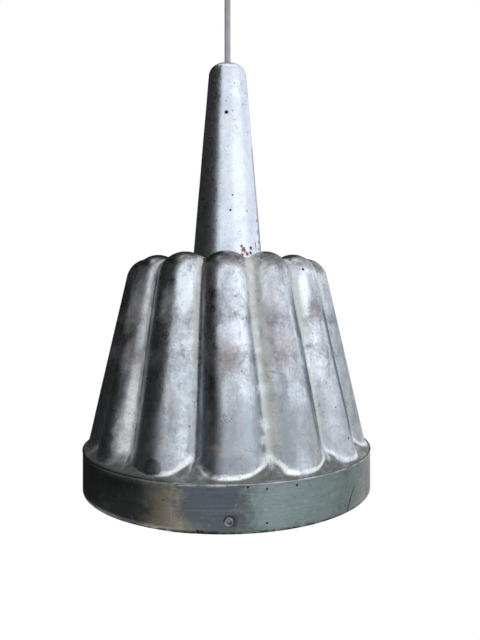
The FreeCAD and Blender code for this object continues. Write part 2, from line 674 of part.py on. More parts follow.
fillet(cup, "CupRound", turn, edges_of(turn, is_shoulder), "cup_round")
inside = outline(new_sketch(cup, "CupInside"), [
    ("0", "cup_sheet"), ("cup_neck_radius - cup_sheet * 0.7", "cup_sheet"),
    ("cup_radius - cup_sheet", "cup_height - cup_side + cup_sheet * 0.5"),
    ("cup_radius - cup_sheet", "cup_height"), ("0", "cup_height")])
hollow = revolve(cup, inside, "CupHollow", cut=True)
shoulder = size("cup_height - cup_side + cup_sheet * 0.5")
fillet(cup, "CupInnerRound", hollow, edges_of(hollow, is_shoulder), "cup_round - cup_sheet")
pocket_all(cup, ring_circle(new_sketch(cup, "CupHole", "XY_Plane"), "0", "0", "bore_radius"),
           "CupBore")
place(cup, "0 - cup_height")

grip_form = turned("cord_grip_form", [
    ("mouth_radius", "0"), ("grip_radius - 1", "0"), ("grip_radius", "1.5"),
    ("grip_radius", "grip_length"), ("bore_radius", "grip_length"),
    ("bore_radius", "grip_length - grip_socket"),
    ("cord_bore", "grip_length - grip_socket"), ("cord_bore", "mouth_depth")])
screw_way = primitive("Part::Cylinder", "GripScrewHole", Radius="grip_screw_radius + fit / 2",
                      Height="grip_radius")
screw_way.Placement = FreeCAD.Placement(V(0, 0, 0), FreeCAD.Rotation(V(1, 0, 0), -90))
screw_way.setExpression("Placement.Base.y", bind("cord_bore - 0.4"))
GRIP_SCREW_Z = "(mouth_depth + grip_length - grip_socket) / 2 + 0.4"
screw_way.setExpression("Placement.Base.z", bind(GRIP_SCREW_Z))
place(boolean("Part::Cut", "cord_grip", grip_form, screw_way), "0 - cup_height - grip_length")
screw = turned("grip_screw", [
    ("0", "0"), ("grip_screw_radius", "0"),
    ("grip_screw_radius", "grip_radius + grip_screw_stand - cord_radius - 0.1"),
    ("0", "grip_radius + grip_screw_stand - cord_radius - 0.1")])
screw.Placement = FreeCAD.Placement(V(0, 0, 0), FreeCAD.Rotation(V(1, 0, 0), -90))
screw.setExpression("Placement.Base.y", bind("cord_radius + 0.1"))
screw.setExpression("Placement.Base.z", bind(f"0 - cup_height - grip_length + {GRIP_SCREW_Z}"))

turned("cup_nipple", [
    ("tube_bore", "0"), ("thread_radius", "0"), ("thread_radius", "nipple_length"),
    ("tube_bore", "nipple_length")], "nipple_z")

# Bracket: a bar bent to a flat hat, its feet on the ceiling
bar = new_body("ceiling_bracket")
half = [("bar_flat", "0"), ("bar_foot_start", "bar_depth - bar_sheet"),
        ("bar_reach", "bar_depth - bar_sheet"), ("bar_reach", "bar_depth"),
        ("bar_foot_start - bar_sheet", "bar_depth"),
        ("bar_flat - bar_sheet", "bar_sheet")]
mirrored = [(f"0 - ({x})", y) for x, y in reversed(half)]
pad(bar, outline(new_sketch(bar, "BarSide"), half + mirrored), "BarPad", "bar_width",
    midplane=True)
ways = new_sketch(bar, "BarWays", "XY_Plane")
ring_circle(ways, "0", "0", "bore_radius")
ring_circle(ways, "bar_hole_offset", "0", "bar_hole_radius")
ring_circle(ways, "0 - bar_hole_offset", "0", "bar_hole_radius")
pocket_all(bar, ways, "BarHoles")
place(bar, "bar_z")
thin_nut("bracket_nut_upper", "bar_z + bar_sheet")
thin_nut("bracket_nut_lower", "bar_z - nut_height")

# Terminal block on the bar, with a way for each core
block = new_body("terminal_block")
pad(block, outline(new_sketch(block, "TerminalPlan", "XY_Plane"), [
    ("0", "0 - terminal_width / 2"), ("terminal_length", "0 - terminal_width / 2"),
    ("terminal_length", "terminal_width / 2"), ("0", "terminal_width / 2")]),
    "TerminalPad", "terminal_height")
ways = new_sketch(block, "TerminalWays", "YZ_Plane")
ring_circle(ways, "terminal_width / 4", "terminal_height / 2", "terminal_bore")
ring_circle(ways, "0 - terminal_width / 4", "terminal_height / 2", "terminal_bore")
pocket_all(block, ways, "TerminalWaysCut")
place(block, "bar_z + bar_sheet", x="nut_corner_radius + block_gap")

NODES = [
    "fluted_mould", "rim_band", "band_rivet_front", "band_rivet_right", "band_rivet_left",
    "neck_cone", "hanger_tube", "edge_bush", "neck_washer", "neck_nut", "holder_lock_nut",
    "holder_cap", "locking_screw", "holder_shell", "contact_block", "live_terminal_screw",
    "neutral_terminal_screw", "threaded_liner", "middle_contact", "bulb", "cord",
    "inner_cord", "cord_tail", "ceiling_cup", "cord_grip", "grip_screw", "cup_nipple",
    "ceiling_bracket", "bracket_nut_upper", "bracket_nut_lower", "terminal_block",
]

doc.recompute()
faults = [f"{item.Name}: {item.State}" for item in doc.Objects
          if "Invalid" in item.State or "Error" in item.State]
parts = {}
for name in NODES:
    found = doc.getObjectsByLabel(name)
    if len(found) != 1:
        faults.append(f"{name}: {len(found)} objects with this label")
        continue
    shape = found[0].Shape
    if shape.isNull() or not shape.isValid() or len(shape.Solids) != 1:
        faults.append(f"{name}: shape is not one valid solid")
    parts[name] = shape
if faults:
    raise RuntimeError("; ".join(faults))

os.makedirs("parts", exist_ok=True)
for name, shape in parts.items():
    shape.exportStep(f"parts/{name}.step")
    box = shape.BoundBox
    print(f"{name:24s} z {box.ZMin:8.2f} {box.ZMax:8.2f}  r {box.XMax:7.2f}"
          f"  volume {shape.Volume:10.1f}")
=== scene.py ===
import math
from typing import NamedTuple

import bpy
import numpy as np
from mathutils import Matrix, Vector


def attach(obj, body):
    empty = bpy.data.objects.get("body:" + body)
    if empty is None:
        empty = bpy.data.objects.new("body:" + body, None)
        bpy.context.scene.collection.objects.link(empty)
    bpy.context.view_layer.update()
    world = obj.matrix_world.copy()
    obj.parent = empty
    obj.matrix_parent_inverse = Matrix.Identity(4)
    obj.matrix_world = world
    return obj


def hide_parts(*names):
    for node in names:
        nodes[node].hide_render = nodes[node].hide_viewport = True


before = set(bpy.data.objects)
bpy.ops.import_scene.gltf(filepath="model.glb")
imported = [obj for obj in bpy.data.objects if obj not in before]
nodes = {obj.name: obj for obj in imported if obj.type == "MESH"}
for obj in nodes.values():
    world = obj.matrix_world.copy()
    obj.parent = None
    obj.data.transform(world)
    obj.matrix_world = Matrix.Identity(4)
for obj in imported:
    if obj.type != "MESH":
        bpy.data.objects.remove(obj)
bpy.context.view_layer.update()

MM = 0.001
# The height of the lamp's mouth and the radius of its band, in millimetres
MOUTH_Z = -514.0
BAND_RADIUS = 125.0


# Camera and cord

CAMERA_PLACE = (0.0113, -0.4525, -0.3734)
LENS, SENSOR = 28.125, 36.0

camera_data = bpy.data.cameras.new("photo_camera")
camera_data.lens = LENS
camera_data.sensor_width = SENSOR
camera_data.clip_start = 0.02
camera_data.clip_end = 40.0
camera = bpy.data.objects.new("photo_camera", camera_data)
camera.location = CAMERA_PLACE
camera.rotation_euler = (math.pi / 2, 0, 0)
bpy.context.scene.collection.objects.link(camera)
bpy.context.scene.camera = camera

# The cord hangs straight, from the grip at its top to a little below the neck's bush
CORD_DIAMETER = 0.0055
CORD_LOW, CORD_EXIT, CORD_TOP = -0.1503, -0.1431, -0.075
CORD_POINTS = [(0, 0, CORD_LOW), (0, 0, -0.135), (0, 0, -0.120), (0, 0, -0.105), (0, 0, -0.090),
               (0, 0, CORD_TOP)]


def nurbs_cord(name, points, diameter):
    curve = bpy.data.curves.new(name, "CURVE")
    curve.dimensions = "3D"
    curve.bevel_depth = diameter / 2
    curve.bevel_resolution = 8
    curve.use_fill_caps = True
    curve.resolution_u = 12
    spline = curve.splines.new("NURBS")
    spline.points.add(len(points) - 1)
    for spot, point in zip(spline.points, points):
        spot.co = (*point, 1.0)
    spline.order_u = 3
    spline.use_endpoint_u = True
    piece = bpy.data.objects.new(name, curve)
    bpy.context.scene.collection.objects.link(piece)
    return piece


cable = nurbs_cord("cable", CORD_POINTS, CORD_DIAMETER)


# Materials

class Paint:
    """One node material on a Principled shader, laid on in coats, in metres."""

    def __init__(self, name, **constants):
        self.material = bpy.data.materials.new(name)
        self.material.use_nodes = True
        self.tree = self.material.node_tree
        self.shader = self.tree.nodes["Principled BSDF"]
        self.place = self.tree.nodes.new("ShaderNodeTexCoord").outputs["Object"]
        self.coats = None
        for socket, value in constants.items():
            self.shader.inputs[socket.replace("_", " ")].default_value = value

    def add(self, kind, inputs, **settings):
        node = self.tree.nodes.new("ShaderNode" + kind)
        for name, value in settings.items():
            setattr(node, name, value)
        for name, value in inputs.items():
            socket = node.inputs[name]
            if isinstance(value, bpy.types.NodeSocket):
                self.tree.links.new(value, socket)
            else:
                if socket.type == "RGBA" and len(value) == 3:
                    value = (*value, 1.0)
                socket.default_value = value
        return node

    def math(self, operation, a, b=0.0, clamp=False):
        return self.add("Math", {0: a, 1: b}, operation=operation, use_clamp=clamp).outputs[0]

    def times(self, a, b):
        return self.math("MULTIPLY", a, b)

    def larger(self, a, b):
        return self.math("MAXIMUM", a, b)

    def vector(self, operation, a, b=(0, 0, 0)):
        node = self.add("VectorMath", {0: a, 1: b}, operation=operation)
        return node.outputs["Value" if operation in ("LENGTH", "DOT_PRODUCT") else "Vector"]

    def stretch(self, scale):
        """The place with each axis scaled, for grain that runs one way."""
        return self.vector("MULTIPLY", self.place, scale)

    def height(self):
        return self.add("SeparateXYZ", {0: self.place}).outputs["Z"]

    def attribute(self, name):
        return self.add("Attribute", {}, attribute_name=name).outputs["Fac"]

    def noise(self, scale, detail=4.0, roughness=0.55, distortion=0.0, place=None, seed=0.0):
        moved = self.vector("ADD", place or self.place, (seed, seed * 0.7, -seed))
        return self.add("TexNoise", {
            "Vector": moved, "Scale": scale, "Detail": detail,
            "Roughness": roughness, "Distortion": distortion}).outputs["Fac"]

    def step(self, value, low, high, start=0.0, end=1.0):
        """Smoothly from start to end while value goes from low to high."""
        return self.add("MapRange", {
            "Value": value, "From Min": low, "From Max": high,
            "To Min": start, "To Max": end}, interpolation_type="SMOOTHSTEP").outputs["Result"]

    def pits(self, scale, share, seed=0, size=0.30):
        """Small round dark pits, each in its own cell, on some of the surface."""
        cells = self.add("TexVoronoi", {"Vector": self.place, "Scale": scale})
        dots = self.step(cells.outputs["Distance"], size * 0.45, size, 1.0, 0.0)
        where = self.step(self.noise(scale * 0.23, 2.0, seed=seed), share, share + 0.06)
        return self.times(dots, where)

    def cracks(self, scale, width):
        """Thin wandering lines of that width between cells."""
        bend = self.add("TexNoise", {"Vector": self.place, "Scale": scale * 1.6, "Detail": 5.0})
        bend = self.vector("MULTIPLY", bend.outputs["Color"], (0.9 / scale,) * 3)
        edge = self.add("TexVoronoi", {"Vector": self.vector("ADD", self.place, bend), "Scale": scale},
                        feature="DISTANCE_TO_EDGE")
        return self.step(edge.outputs["Distance"], 0.0, width * scale, 1.0, 0.0)

    def fray(self, reach, radius, ragged):
        """A distance made uneven, so that the mark it bounds has a ragged edge."""
        wander = self.math("SUBTRACT", self.noise(2.2 / radius, 8.0, 0.78), 0.5)
        return self.math("ADD", reach, self.times(wander, ragged * radius))

    def blot(self, mark, ragged, solid=0.55):
        """1 inside a Blot, 0 outside, with a ragged edge."""
        offset = self.vector("SUBTRACT", self.place, on_ring(*mark.place))
        offset = self.vector("MULTIPLY", offset, (1.0, 1.0, mark.flat))
        radius = mark.radius * MM
        reach = self.fray(self.vector("LENGTH", offset), radius, ragged)
        return self.step(reach, radius * (mark.solid or solid), radius, 1.0, 0.0)

    def stroke(self, mark, ragged):
        """1 along a Stroke, 0 beside it, with a ragged edge."""
        start, end, radius = on_ring(*mark.start), on_ring(*mark.end), mark.radius * MM
        run = Vector(end) - Vector(start)
        offset = self.vector("SUBTRACT", self.place, start)
        share = self.vector("DOT_PRODUCT", offset, tuple(run / run.length_squared))
        share = self.math("ADD", share, 0.0, clamp=True)
        along = self.add("VectorMath", {0: tuple(run), "Scale": share}, operation="SCALE")
        reach = self.vector("LENGTH", self.vector("SUBTRACT", offset, along.outputs["Vector"]))
        return self.step(self.fray(reach, radius, ragged), radius * 0.4, radius, 1.0, 0.0)

    def mix(self, amount, low, high):
        return self.add("Mix", {0: amount, 6: low, 7: high}, data_type="RGBA").outputs[2]

    def ground(self, amount, low, high):
        """The first coat, from one shade to the other as amount goes from 0 to 1."""
        self.coats = self.mix(amount, low, high)

    def coat(self, amount, shade, share=1.0):
        """One more shade over the coats so far, which covers that share where amount is 1."""
        if share != 1.0:
            amount = self.times(amount, share)
        self.coats = self.mix(amount, self.coats, shade)

    def link(self, name, socket):
        self.tree.links.new(socket, self.shader.inputs[name])

    def bump(self, height, distance):
        before = self.shader.inputs["Normal"].links
        inputs = {"Height": height, "Distance": distance, "Strength": 1.0}
        if before:
            inputs["Normal"] = before[0].from_socket
        self.link("Normal", self.add("Bump", inputs).outputs["Normal"])

    def finish(self):
        self.link("Base Color", self.coats)
        return self.material


# Heights in metres that the stains and the painted shade keep to; a heat belt has its height, spread
# and amount
LOW_DARKENING_FROM, LOW_DARKENING_FULL = -0.375, -0.475
HEADS_FROM, HEADS_FULL = -0.3350, -0.3270
CROWN_FROM, CROWN_FULL = -0.3155, -0.3240
DULL_FROM, DULL_FULL = -0.410, -0.460
NECK_FOOT_FROM, NECK_FOOT_FULL = -0.3225, -0.331
HEAT_BELTS = ((-0.372, 0.012, 0.74), (-0.399, 0.016, 0.78), (-0.331, 0.010, 0.6))

TIN = {
    "dull": (0.53, 0.58, 0.66), "clear": (0.66, 0.72, 0.82), "blotch": (0.37, 0.385, 0.42),
    "pore": (0.27, 0.275, 0.29), "glint": (0.86, 0.89, 0.94), "streak": (0.29, 0.30, 0.33),
    "wiped": (0.86, 0.92, 1.0), "grime": (0.30, 0.325, 0.355), "painted_flank_shade": (0.205, 0.245, 0.265),
    "painted_flank_shade_tint": (0.22, 0.27, 0.30), "front_left_painted_shade": (0.085, 0.09, 0.095), "head": (0.065, 0.064, 0.066),
    "heat": (0.185, 0.168, 0.18), "tarnish": (0.25, 0.235, 0.25), "warm": (0.55, 0.50, 0.48),
    "bloom": (0.70, 0.735, 0.70), "lump": (0.86, 0.87, 0.82), "solder": (0.90, 0.93, 0.95),
    "soot_and_crease_shade": (0.125, 0.128, 0.122), "rim": (0.82, 0.86, 0.90), "stain": (0.085, 0.088, 0.085),
    "crack": (0.10, 0.095, 0.10), "pit": (0.04, 0.036, 0.036),
}


def tin_ground(paint, high, blotch, grain, off_toes):
    """Clouded tin with pores and streaks, darker low down, painted shade on the flanks, heads stained
    and in painted shade.
    """
    cloud = paint.noise(26, 5, 0.6, 0.4)
    paint.ground(paint.step(cloud, 0.36, 0.64), TIN["dull"], TIN["clear"])
    paint.coat(paint.step(blotch, 0.47, 0.62, 0.0, 0.50), TIN["blotch"])
    paint.coat(paint.step(grain, 0.53, 0.65, 0.0, 0.60), TIN["pore"])
    paint.coat(paint.step(grain, 0.44, 0.36, 0.0, 0.40), TIN["glint"])
    streak = paint.noise(1.0, 7, 0.72, place=paint.stretch((85, 85, 26)), seed=17)
    paint.coat(paint.step(streak, 0.51, 0.62, 0.0, 0.60), TIN["streak"])
    paint.coat(paint.step(streak, 0.47, 0.36, 0.0, 0.65), TIN["wiped"])
    # Darker towards the bottom of the flutes
    grime = paint.step(high, LOW_DARKENING_FROM, LOW_DARKENING_FULL)
    grime = paint.times(grime, paint.step(paint.noise(45, 6, 0.7, seed=12), 0.3, 0.6, 0.3, 0.95))
    paint.coat(paint.times(grime, off_toes), TIN["grime"], 0.62)
    # Painted shade on the flutes' right flanks, mottled
    painted_flank_shade = paint.step(paint.noise(38, 6, 0.7, seed=18), 0.30, 0.55, 0.55, 0.90)
    painted_flank_shade = paint.times(painted_flank_shade, paint.attribute("painted_flank_shade"))
    paint.coat(painted_flank_shade, TIN["painted_flank_shade"])
    # Painted shade on the front flute's left side
    paint.coat(paint.attribute("front_left_painted_shade"), TIN["front_left_painted_shade"], 0.85)
    # Heads darker on top: partly stain, partly painted shade
    heads = paint.step(high, HEADS_FROM, HEADS_FULL)
    heads = paint.times(heads, paint.step(paint.noise(90, 8, 0.76, seed=13), 0.38, 0.56, 0.50, 1.0))
    heads = paint.times(heads, paint.step(high, CROWN_FROM, CROWN_FULL, 0.45, 1.0))
    paint.coat(heads, TIN["head"], 0.95)
    return painted_flank_shade


def tin_heat(paint, high, grain):
    """Brown and purple heat stains, in uneven belts and scattered."""
    belts = None
    for level, spread, amount in HEAT_BELTS:
        away = paint.math("ABSOLUTE", paint.math("SUBTRACT", high, level))
        belt = paint.step(away, 0.0, spread, amount, 0.0)
        belts = belt if belts is None else paint.larger(belts, belt)
    uneven = paint.noise(44, 9, 0.80, 0.5, seed=5)
    stain = paint.step(paint.math("ADD", paint.times(belts, 0.30), uneven), 0.60, 0.84)
    stain = paint.times(stain, paint.step(grain, 0.36, 0.58, 0.45, 1.0))
    paint.coat(stain, TIN["heat"], 0.9)
    paint.coat(paint.step(paint.noise(30, 9, 0.78, 0.4, seed=9), 0.55, 0.68, 0.0, 0.60), TIN["tarnish"])
    paint.coat(paint.step(paint.noise(42, 6, 0.7, seed=14), 0.53, 0.66, 0.0, 0.45), TIN["warm"])
    return stain


def tin_clouds(paint, blotch):
    """Placed clouds and bands, some of them painted highlights and one a painted shadow, and matt
    patches whose pale colour is painted light.
    """
    broken = paint.step(blotch, 0.36, 0.62, 1.0, 0.40)
    for mark in SHADE_CLOUDS.values():
        patch = paint.times(paint.blot(mark, 1.8, 0.2), broken)
        paint.coat(patch, mark.shade, mark.amount)
    for mark in SHADE_BANDS.values():
        paint.coat(paint.stroke(mark, 1.2), mark.shade, mark.amount)
    painted_light_film = None
    for mark in PAINTED_LIGHT_FILMS.values():
        patch = paint.times(paint.blot(mark, 1.3, 0.2), broken)
        paint.coat(patch, mark.shade)
        painted_light_film = patch if painted_light_film is None else paint.larger(painted_light_film, patch)
    return painted_light_film


def tin_bloom(paint, valley):
    """Pale green-beige bloom in the valleys, with lumps of old solder."""
    bloom = paint.times(valley, paint.step(paint.noise(75, 7, 0.74, seed=2), 0.36, 0.56, 0.25, 0.9))
    paint.coat(bloom, TIN["bloom"])
    lumps = paint.times(valley, paint.step(paint.noise(230, 5, 0.7, seed=6), 0.56, 0.66))
    paint.coat(lumps, TIN["lump"], 0.6)
    for mark in SOLDER_SPOTS.values():
        patch = paint.times(paint.blot(mark, 1.8, 0.1), mark.amount)
        bloom = paint.larger(bloom, patch)
        paint.coat(patch, TIN["solder"])
    return bloom, lumps


def tin_foot(paint, valley, toe, off_toes):
    """Soot and grease with painted shade on the flange, painted highlights on the toes of the flutes,
    and a round stain.
    """
    flange = paint.attribute("flange")
    # Darker on the flange, in the crease under the flutes: partly soot, partly painted shade
    soot_and_shade = paint.times(flange, paint.step(paint.noise(90, 7, 0.72, seed=7), 0.3, 0.6, 0.45, 0.95))
    soot_and_shade = paint.times(soot_and_shade, off_toes)
    soot_and_shade = paint.times(soot_and_shade, paint.step(valley, 0.0, 0.8, 1.0, 0.35))
    paint.coat(soot_and_shade, TIN["soot_and_crease_shade"])
    # Painted highlights along the toes of the flutes
    rim = paint.times(toe, paint.step(paint.noise(70, 5, 0.7, seed=19), 0.38, 0.54, 0.15, 0.95))
    paint.coat(rim, TIN["rim"])
    paint.coat(paint.blot(ROUND_STAIN, 0.8, 0.8), TIN["stain"], 0.7)
    return soot_and_shade, rim


def tin_pits(paint):
    """Cracks, pits and single marks."""
    where = paint.step(paint.noise(70, 4, 0.7, seed=16), 0.53, 0.62)
    paint.coat(paint.times(paint.times(paint.cracks(120, 0.00050), where), 0.38), TIN["crack"])
    small = paint.pits(480, 0.60)
    sparse = paint.pits(210, 0.63, seed=4, size=0.17)
    paint.coat(paint.larger(paint.times(small, 0.7), sparse), TIN["pit"])
    for mark in SHADE_SPOTS.values():
        paint.coat(paint.blot(mark, 1.5), mark.shade)


def tinplate():
    """Dull, stained tin on the fluted mould, with painted shade and painted highlights."""
    paint = Paint("tinplate_aged_with_painted_light", Specular_IOR_Level=0.5)
    high = paint.height()
    blotch = paint.noise(120, 7, 0.72, 0.3, seed=3)
    grain = paint.noise(480, 5, 0.75, seed=15)
    toe = paint.attribute("toe")
    valley = paint.attribute("valley")
    off_toes = paint.math("SUBTRACT", 1.0, toe)
    painted_flank_shade = tin_ground(paint, high, blotch, grain, off_toes)
    stain = tin_heat(paint, high, grain)
    painted_light_film = tin_clouds(paint, blotch)
    bloom, lumps = tin_bloom(paint, valley)
    soot_and_shade, rim = tin_foot(paint, valley, toe, off_toes)
    tin_pits(paint)

    dull = paint.step(blotch, 0.35, 0.65, 0.25, 0.36)
    dull = paint.math("ADD", dull, paint.times(bloom, 0.25))
    dull = paint.math("ADD", dull, paint.times(soot_and_shade, 0.16))
    dull = paint.math("SUBTRACT", dull, paint.times(rim, 0.10))
    dull = paint.math("ADD", dull, paint.step(high, DULL_FROM, DULL_FULL, 0.0, 0.09))
    paint.link("Roughness", dull)
    bare = paint.math("SUBTRACT", 1.0, paint.times(bloom, 0.85))
    for cover, amount in ((stain, 0.25), (painted_light_film, 0.65)):
        bare = paint.math("SUBTRACT", bare, paint.times(cover, amount))
    bare = paint.math("SUBTRACT", bare, paint.times(soot_and_shade, 0.40), clamp=True)
    paint.link("Metallic", bare)
    # Painted shade in the reflection too: the flanks' gloss tinted darker
    paint.link("Specular Tint", paint.mix(painted_flank_shade, (1.0, 1.0, 1.0), TIN["painted_flank_shade_tint"]))
    paint.bump(paint.noise(80, 3, 0.5, seed=1), 0.0003)
    paint.bump(grain, 0.00006)
    paint.bump(lumps, 0.0002)
    return paint.finish()


def neck_tin():
    """The neck: brighter tin with a few pits, rust at its foot and painted shade along its right edge.
    """
    paint = Paint("neck_tin_aged_and_painted_shade", Metallic=1.0)
    cloud = paint.noise(30, 6, 0.65, 0.3, seed=21)
    blotch = paint.noise(150, 7, 0.72, seed=22)
    grain = paint.noise(560, 5, 0.75, seed=28)
    warm = paint.noise(30, 5, 0.65, seed=23)
    paint.ground(paint.step(cloud, 0.36, 0.64), (0.63, 0.70, 0.83), (0.76, 0.83, 0.94))
    paint.coat(paint.step(blotch, 0.50, 0.66, 0.0, 0.30), (0.48, 0.50, 0.54))
    paint.coat(paint.step(grain, 0.55, 0.66, 0.0, 0.40), (0.36, 0.37, 0.39))
    paint.coat(paint.step(warm, 0.52, 0.68, 0.0, 0.3), (0.72, 0.66, 0.64))
    specks = paint.larger(paint.pits(330, 0.62, seed=24), paint.pits(520, 0.60, seed=29))
    paint.coat(specks, (0.05, 0.045, 0.045), 0.85)
    foot = paint.times(paint.step(paint.height(), NECK_FOOT_FROM, NECK_FOOT_FULL),
                       paint.step(paint.noise(190, 6, 0.75, seed=25), 0.46, 0.58))
    paint.coat(foot, (0.20, 0.09, 0.045))
    for mark in NECK_SPOTS.values():
        paint.coat(paint.blot(mark, 1.0), mark.shade)
    for mark in NECK_BLOTS.values():
        paint.coat(paint.blot(mark, 2.4, 0.3), mark.shade)
    for mark in NECK_STROKES.values():
        paint.coat(paint.stroke(mark, 2.2), mark.shade)
    paint.link("Roughness", paint.step(blotch, 0.35, 0.65, 0.26, 0.35))
    paint.bump(paint.noise(70, 3, 0.5, seed=26), 0.0003)
    paint.bump(grain, 0.00006)
    return paint.finish()


def band_tin():
    """The band: darker tin, rubbed in fine lines along the strip, with a painted shadow round the front
    pin.
    """
    paint = Paint("band_tin_aged_and_painted_shadow", Metallic=1.0)
    lines = paint.noise(1.0, 7, 0.75, place=paint.stretch((55, 55, 2600)), seed=31)
    wide = paint.noise(1.0, 4, 0.7, place=paint.stretch((14, 14, 520)), seed=32)
    cloud = paint.noise(34, 6, 0.7, 0.5, seed=33)
    blotch = paint.noise(210, 7, 0.74, seed=37)
    paint.ground(paint.step(cloud, 0.36, 0.64), (0.085, 0.10, 0.10), (0.15, 0.175, 0.175))
    for mark in BAND_PATCHES.values():
        paint.coat(paint.blot(mark, 1.5), mark.shade, mark.amount)
    paint.coat(paint.step(lines, 0.44, 0.62, 0.0, 0.30), (0.07, 0.077, 0.08))
    paint.coat(paint.step(wide, 0.56, 0.70, 0.0, 0.14), (0.36, 0.39, 0.38))
    paint.coat(paint.step(blotch, 0.54, 0.68, 0.0, 0.35), (0.06, 0.066, 0.066))
    paint.coat(paint.step(blotch, 0.42, 0.34, 0.0, 0.25), (0.42, 0.45, 0.45))
    torn = paint.step(paint.noise(75, 8, 0.75, seed=34), 0.36, 0.62, 0.10, 0.95)
    paint.coat(paint.times(paint.attribute("edge"), torn), (0.52, 0.53, 0.56))
    foot = paint.times(paint.step(paint.height(), MOUTH_Z * MM + 0.0022, MOUTH_Z * MM + 0.0006),
                       paint.step(paint.noise(200, 5, 0.75, seed=38), 0.42, 0.56))
    paint.coat(foot, (0.05, 0.036, 0.03))
    paint.coat(paint.pits(360, 0.62, seed=35), (0.03, 0.028, 0.025), 0.85)
    for mark in BAND_SPOTS.values():
        paint.coat(paint.blot(mark, 1.5), mark.shade)
    for mark in BAND_STROKES.values():
        paint.coat(paint.stroke(mark, 1.5), mark.shade)
    paint.link("Roughness", paint.step(lines, 0.35, 0.65, 0.28, 0.42))
    paint.bump(lines, 0.00007)
    paint.bump(paint.noise(55, 3, 0.5, seed=36), 0.0003)
    return paint.finish()


def worn_metal(name, low, high, roughness, grain=240.0):
    """A plain plated or cast metal with clouded colour and fine wear."""
    paint = Paint(name, Metallic=1.0)
    cloud = paint.noise(grain * 0.3, 4.0, 0.6, seed=41)
    fine = paint.noise(grain, 6.0, 0.65, seed=42)
    paint.ground(paint.step(cloud, 0.35, 0.65), low, high)
    paint.coat(paint.step(fine, 0.52, 0.70, 0.0, 0.6), tuple(part * 0.35 for part in low))
    paint.link("Roughness", paint.step(fine, 0.35, 0.65, roughness, roughness + 0.16))
    paint.bump(fine, 0.00015)
    return paint.finish()


def moulded(name, low, high, roughness):
    """Moulded plastic, enamel or china with a faint mottle and dust."""
    paint = Paint(name)
    cloud = paint.noise(36, 4, 0.6, seed=51)
    fine = paint.noise(900, 4, 0.6, seed=52)
    paint.ground(paint.step(cloud, 0.35, 0.65), low, high)
    paint.link("Roughness", paint.step(fine, 0.35, 0.65, roughness, roughness + 0.12))
    paint.bump(fine, 0.00006)
    return paint.finish()


def opal_bulb():
    """Opal glass, with a brass screw base above it."""
    base_z, thread_pitch = -0.3300, 0.0036
    paint = Paint("opal_bulb", Coat_Weight=0.4, Coat_Roughness=0.06)
    high = paint.height()
    base = paint.step(high, base_z, base_z + 0.001)
    cloud = paint.noise(40, 3, 0.5, seed=61)
    paint.ground(paint.step(cloud, 0.3, 0.7), (0.86, 0.86, 0.83), (0.92, 0.91, 0.88))
    paint.coat(base, (0.60, 0.44, 0.20))
    paint.link("Metallic", base)
    paint.link("Roughness", paint.step(cloud, 0.3, 0.7, 0.16, 0.24))
    thread = paint.math("SINE", paint.times(high, 2 * math.pi / thread_pitch))
    paint.bump(paint.times(thread, base), 0.0005)
    return paint.finish()


# Marks on the front side, in millimetres. A place is a column and a row of the picture,
# in pixels, and the radius of the ring round the lamp's axis that the mark lies on.
# The flutes are called front, right, right2, left, left2 and left3 from the middle out.

PICTURE_WIDE, PICTURE_HIGH = 480, 640
FOCAL = PICTURE_HIGH * LENS / SENSOR


def on_ring(column, row, reach):
    """The point that is seen at a picture place, on the ring of that radius."""
    ray = Vector(((column - PICTURE_WIDE / 2) / FOCAL, 1.0, -(row - PICTURE_HIGH / 2) / FOCAL))
    eye = Vector(CAMERA_PLACE)
    a = ray.x ** 2 + ray.y ** 2
    b = 2 * (eye.x * ray.x + eye.y * ray.y)
    c = eye.x ** 2 + eye.y ** 2 - (reach * MM) ** 2
    root = max(b * b - 4 * a * c, 0.0)
    return tuple(eye + ray * ((-b - math.sqrt(root)) / (2 * a)))


class Blot(NamedTuple):
    """A round mark: its flat divides its height, its solid is the share of it that has no fade."""
    place: tuple
    radius: float
    shade: tuple = None
    amount: float = 1.0
    flat: float = 1.0
    solid: float = None


class Stroke(NamedTuple):
    """A straight mark between two places."""
    start: tuple
    end: tuple
    radius: float
    shade: tuple
    amount: float = 1.0


BLACK = (0.02, 0.018, 0.018)
RUST = (0.16, 0.06, 0.025)
BROWN = (0.17, 0.075, 0.04)
# A painted highlight colour
PAINTED_HIGHLIGHT = (0.86, 0.93, 1.0)
# Pale colours painted as light on matt patches
PAINTED_LIGHT_GREY = (0.45, 0.435, 0.44)
PAINTED_LIGHT_WHITE = (0.95, 0.97, 1.0)
BAND = BAND_RADIUS

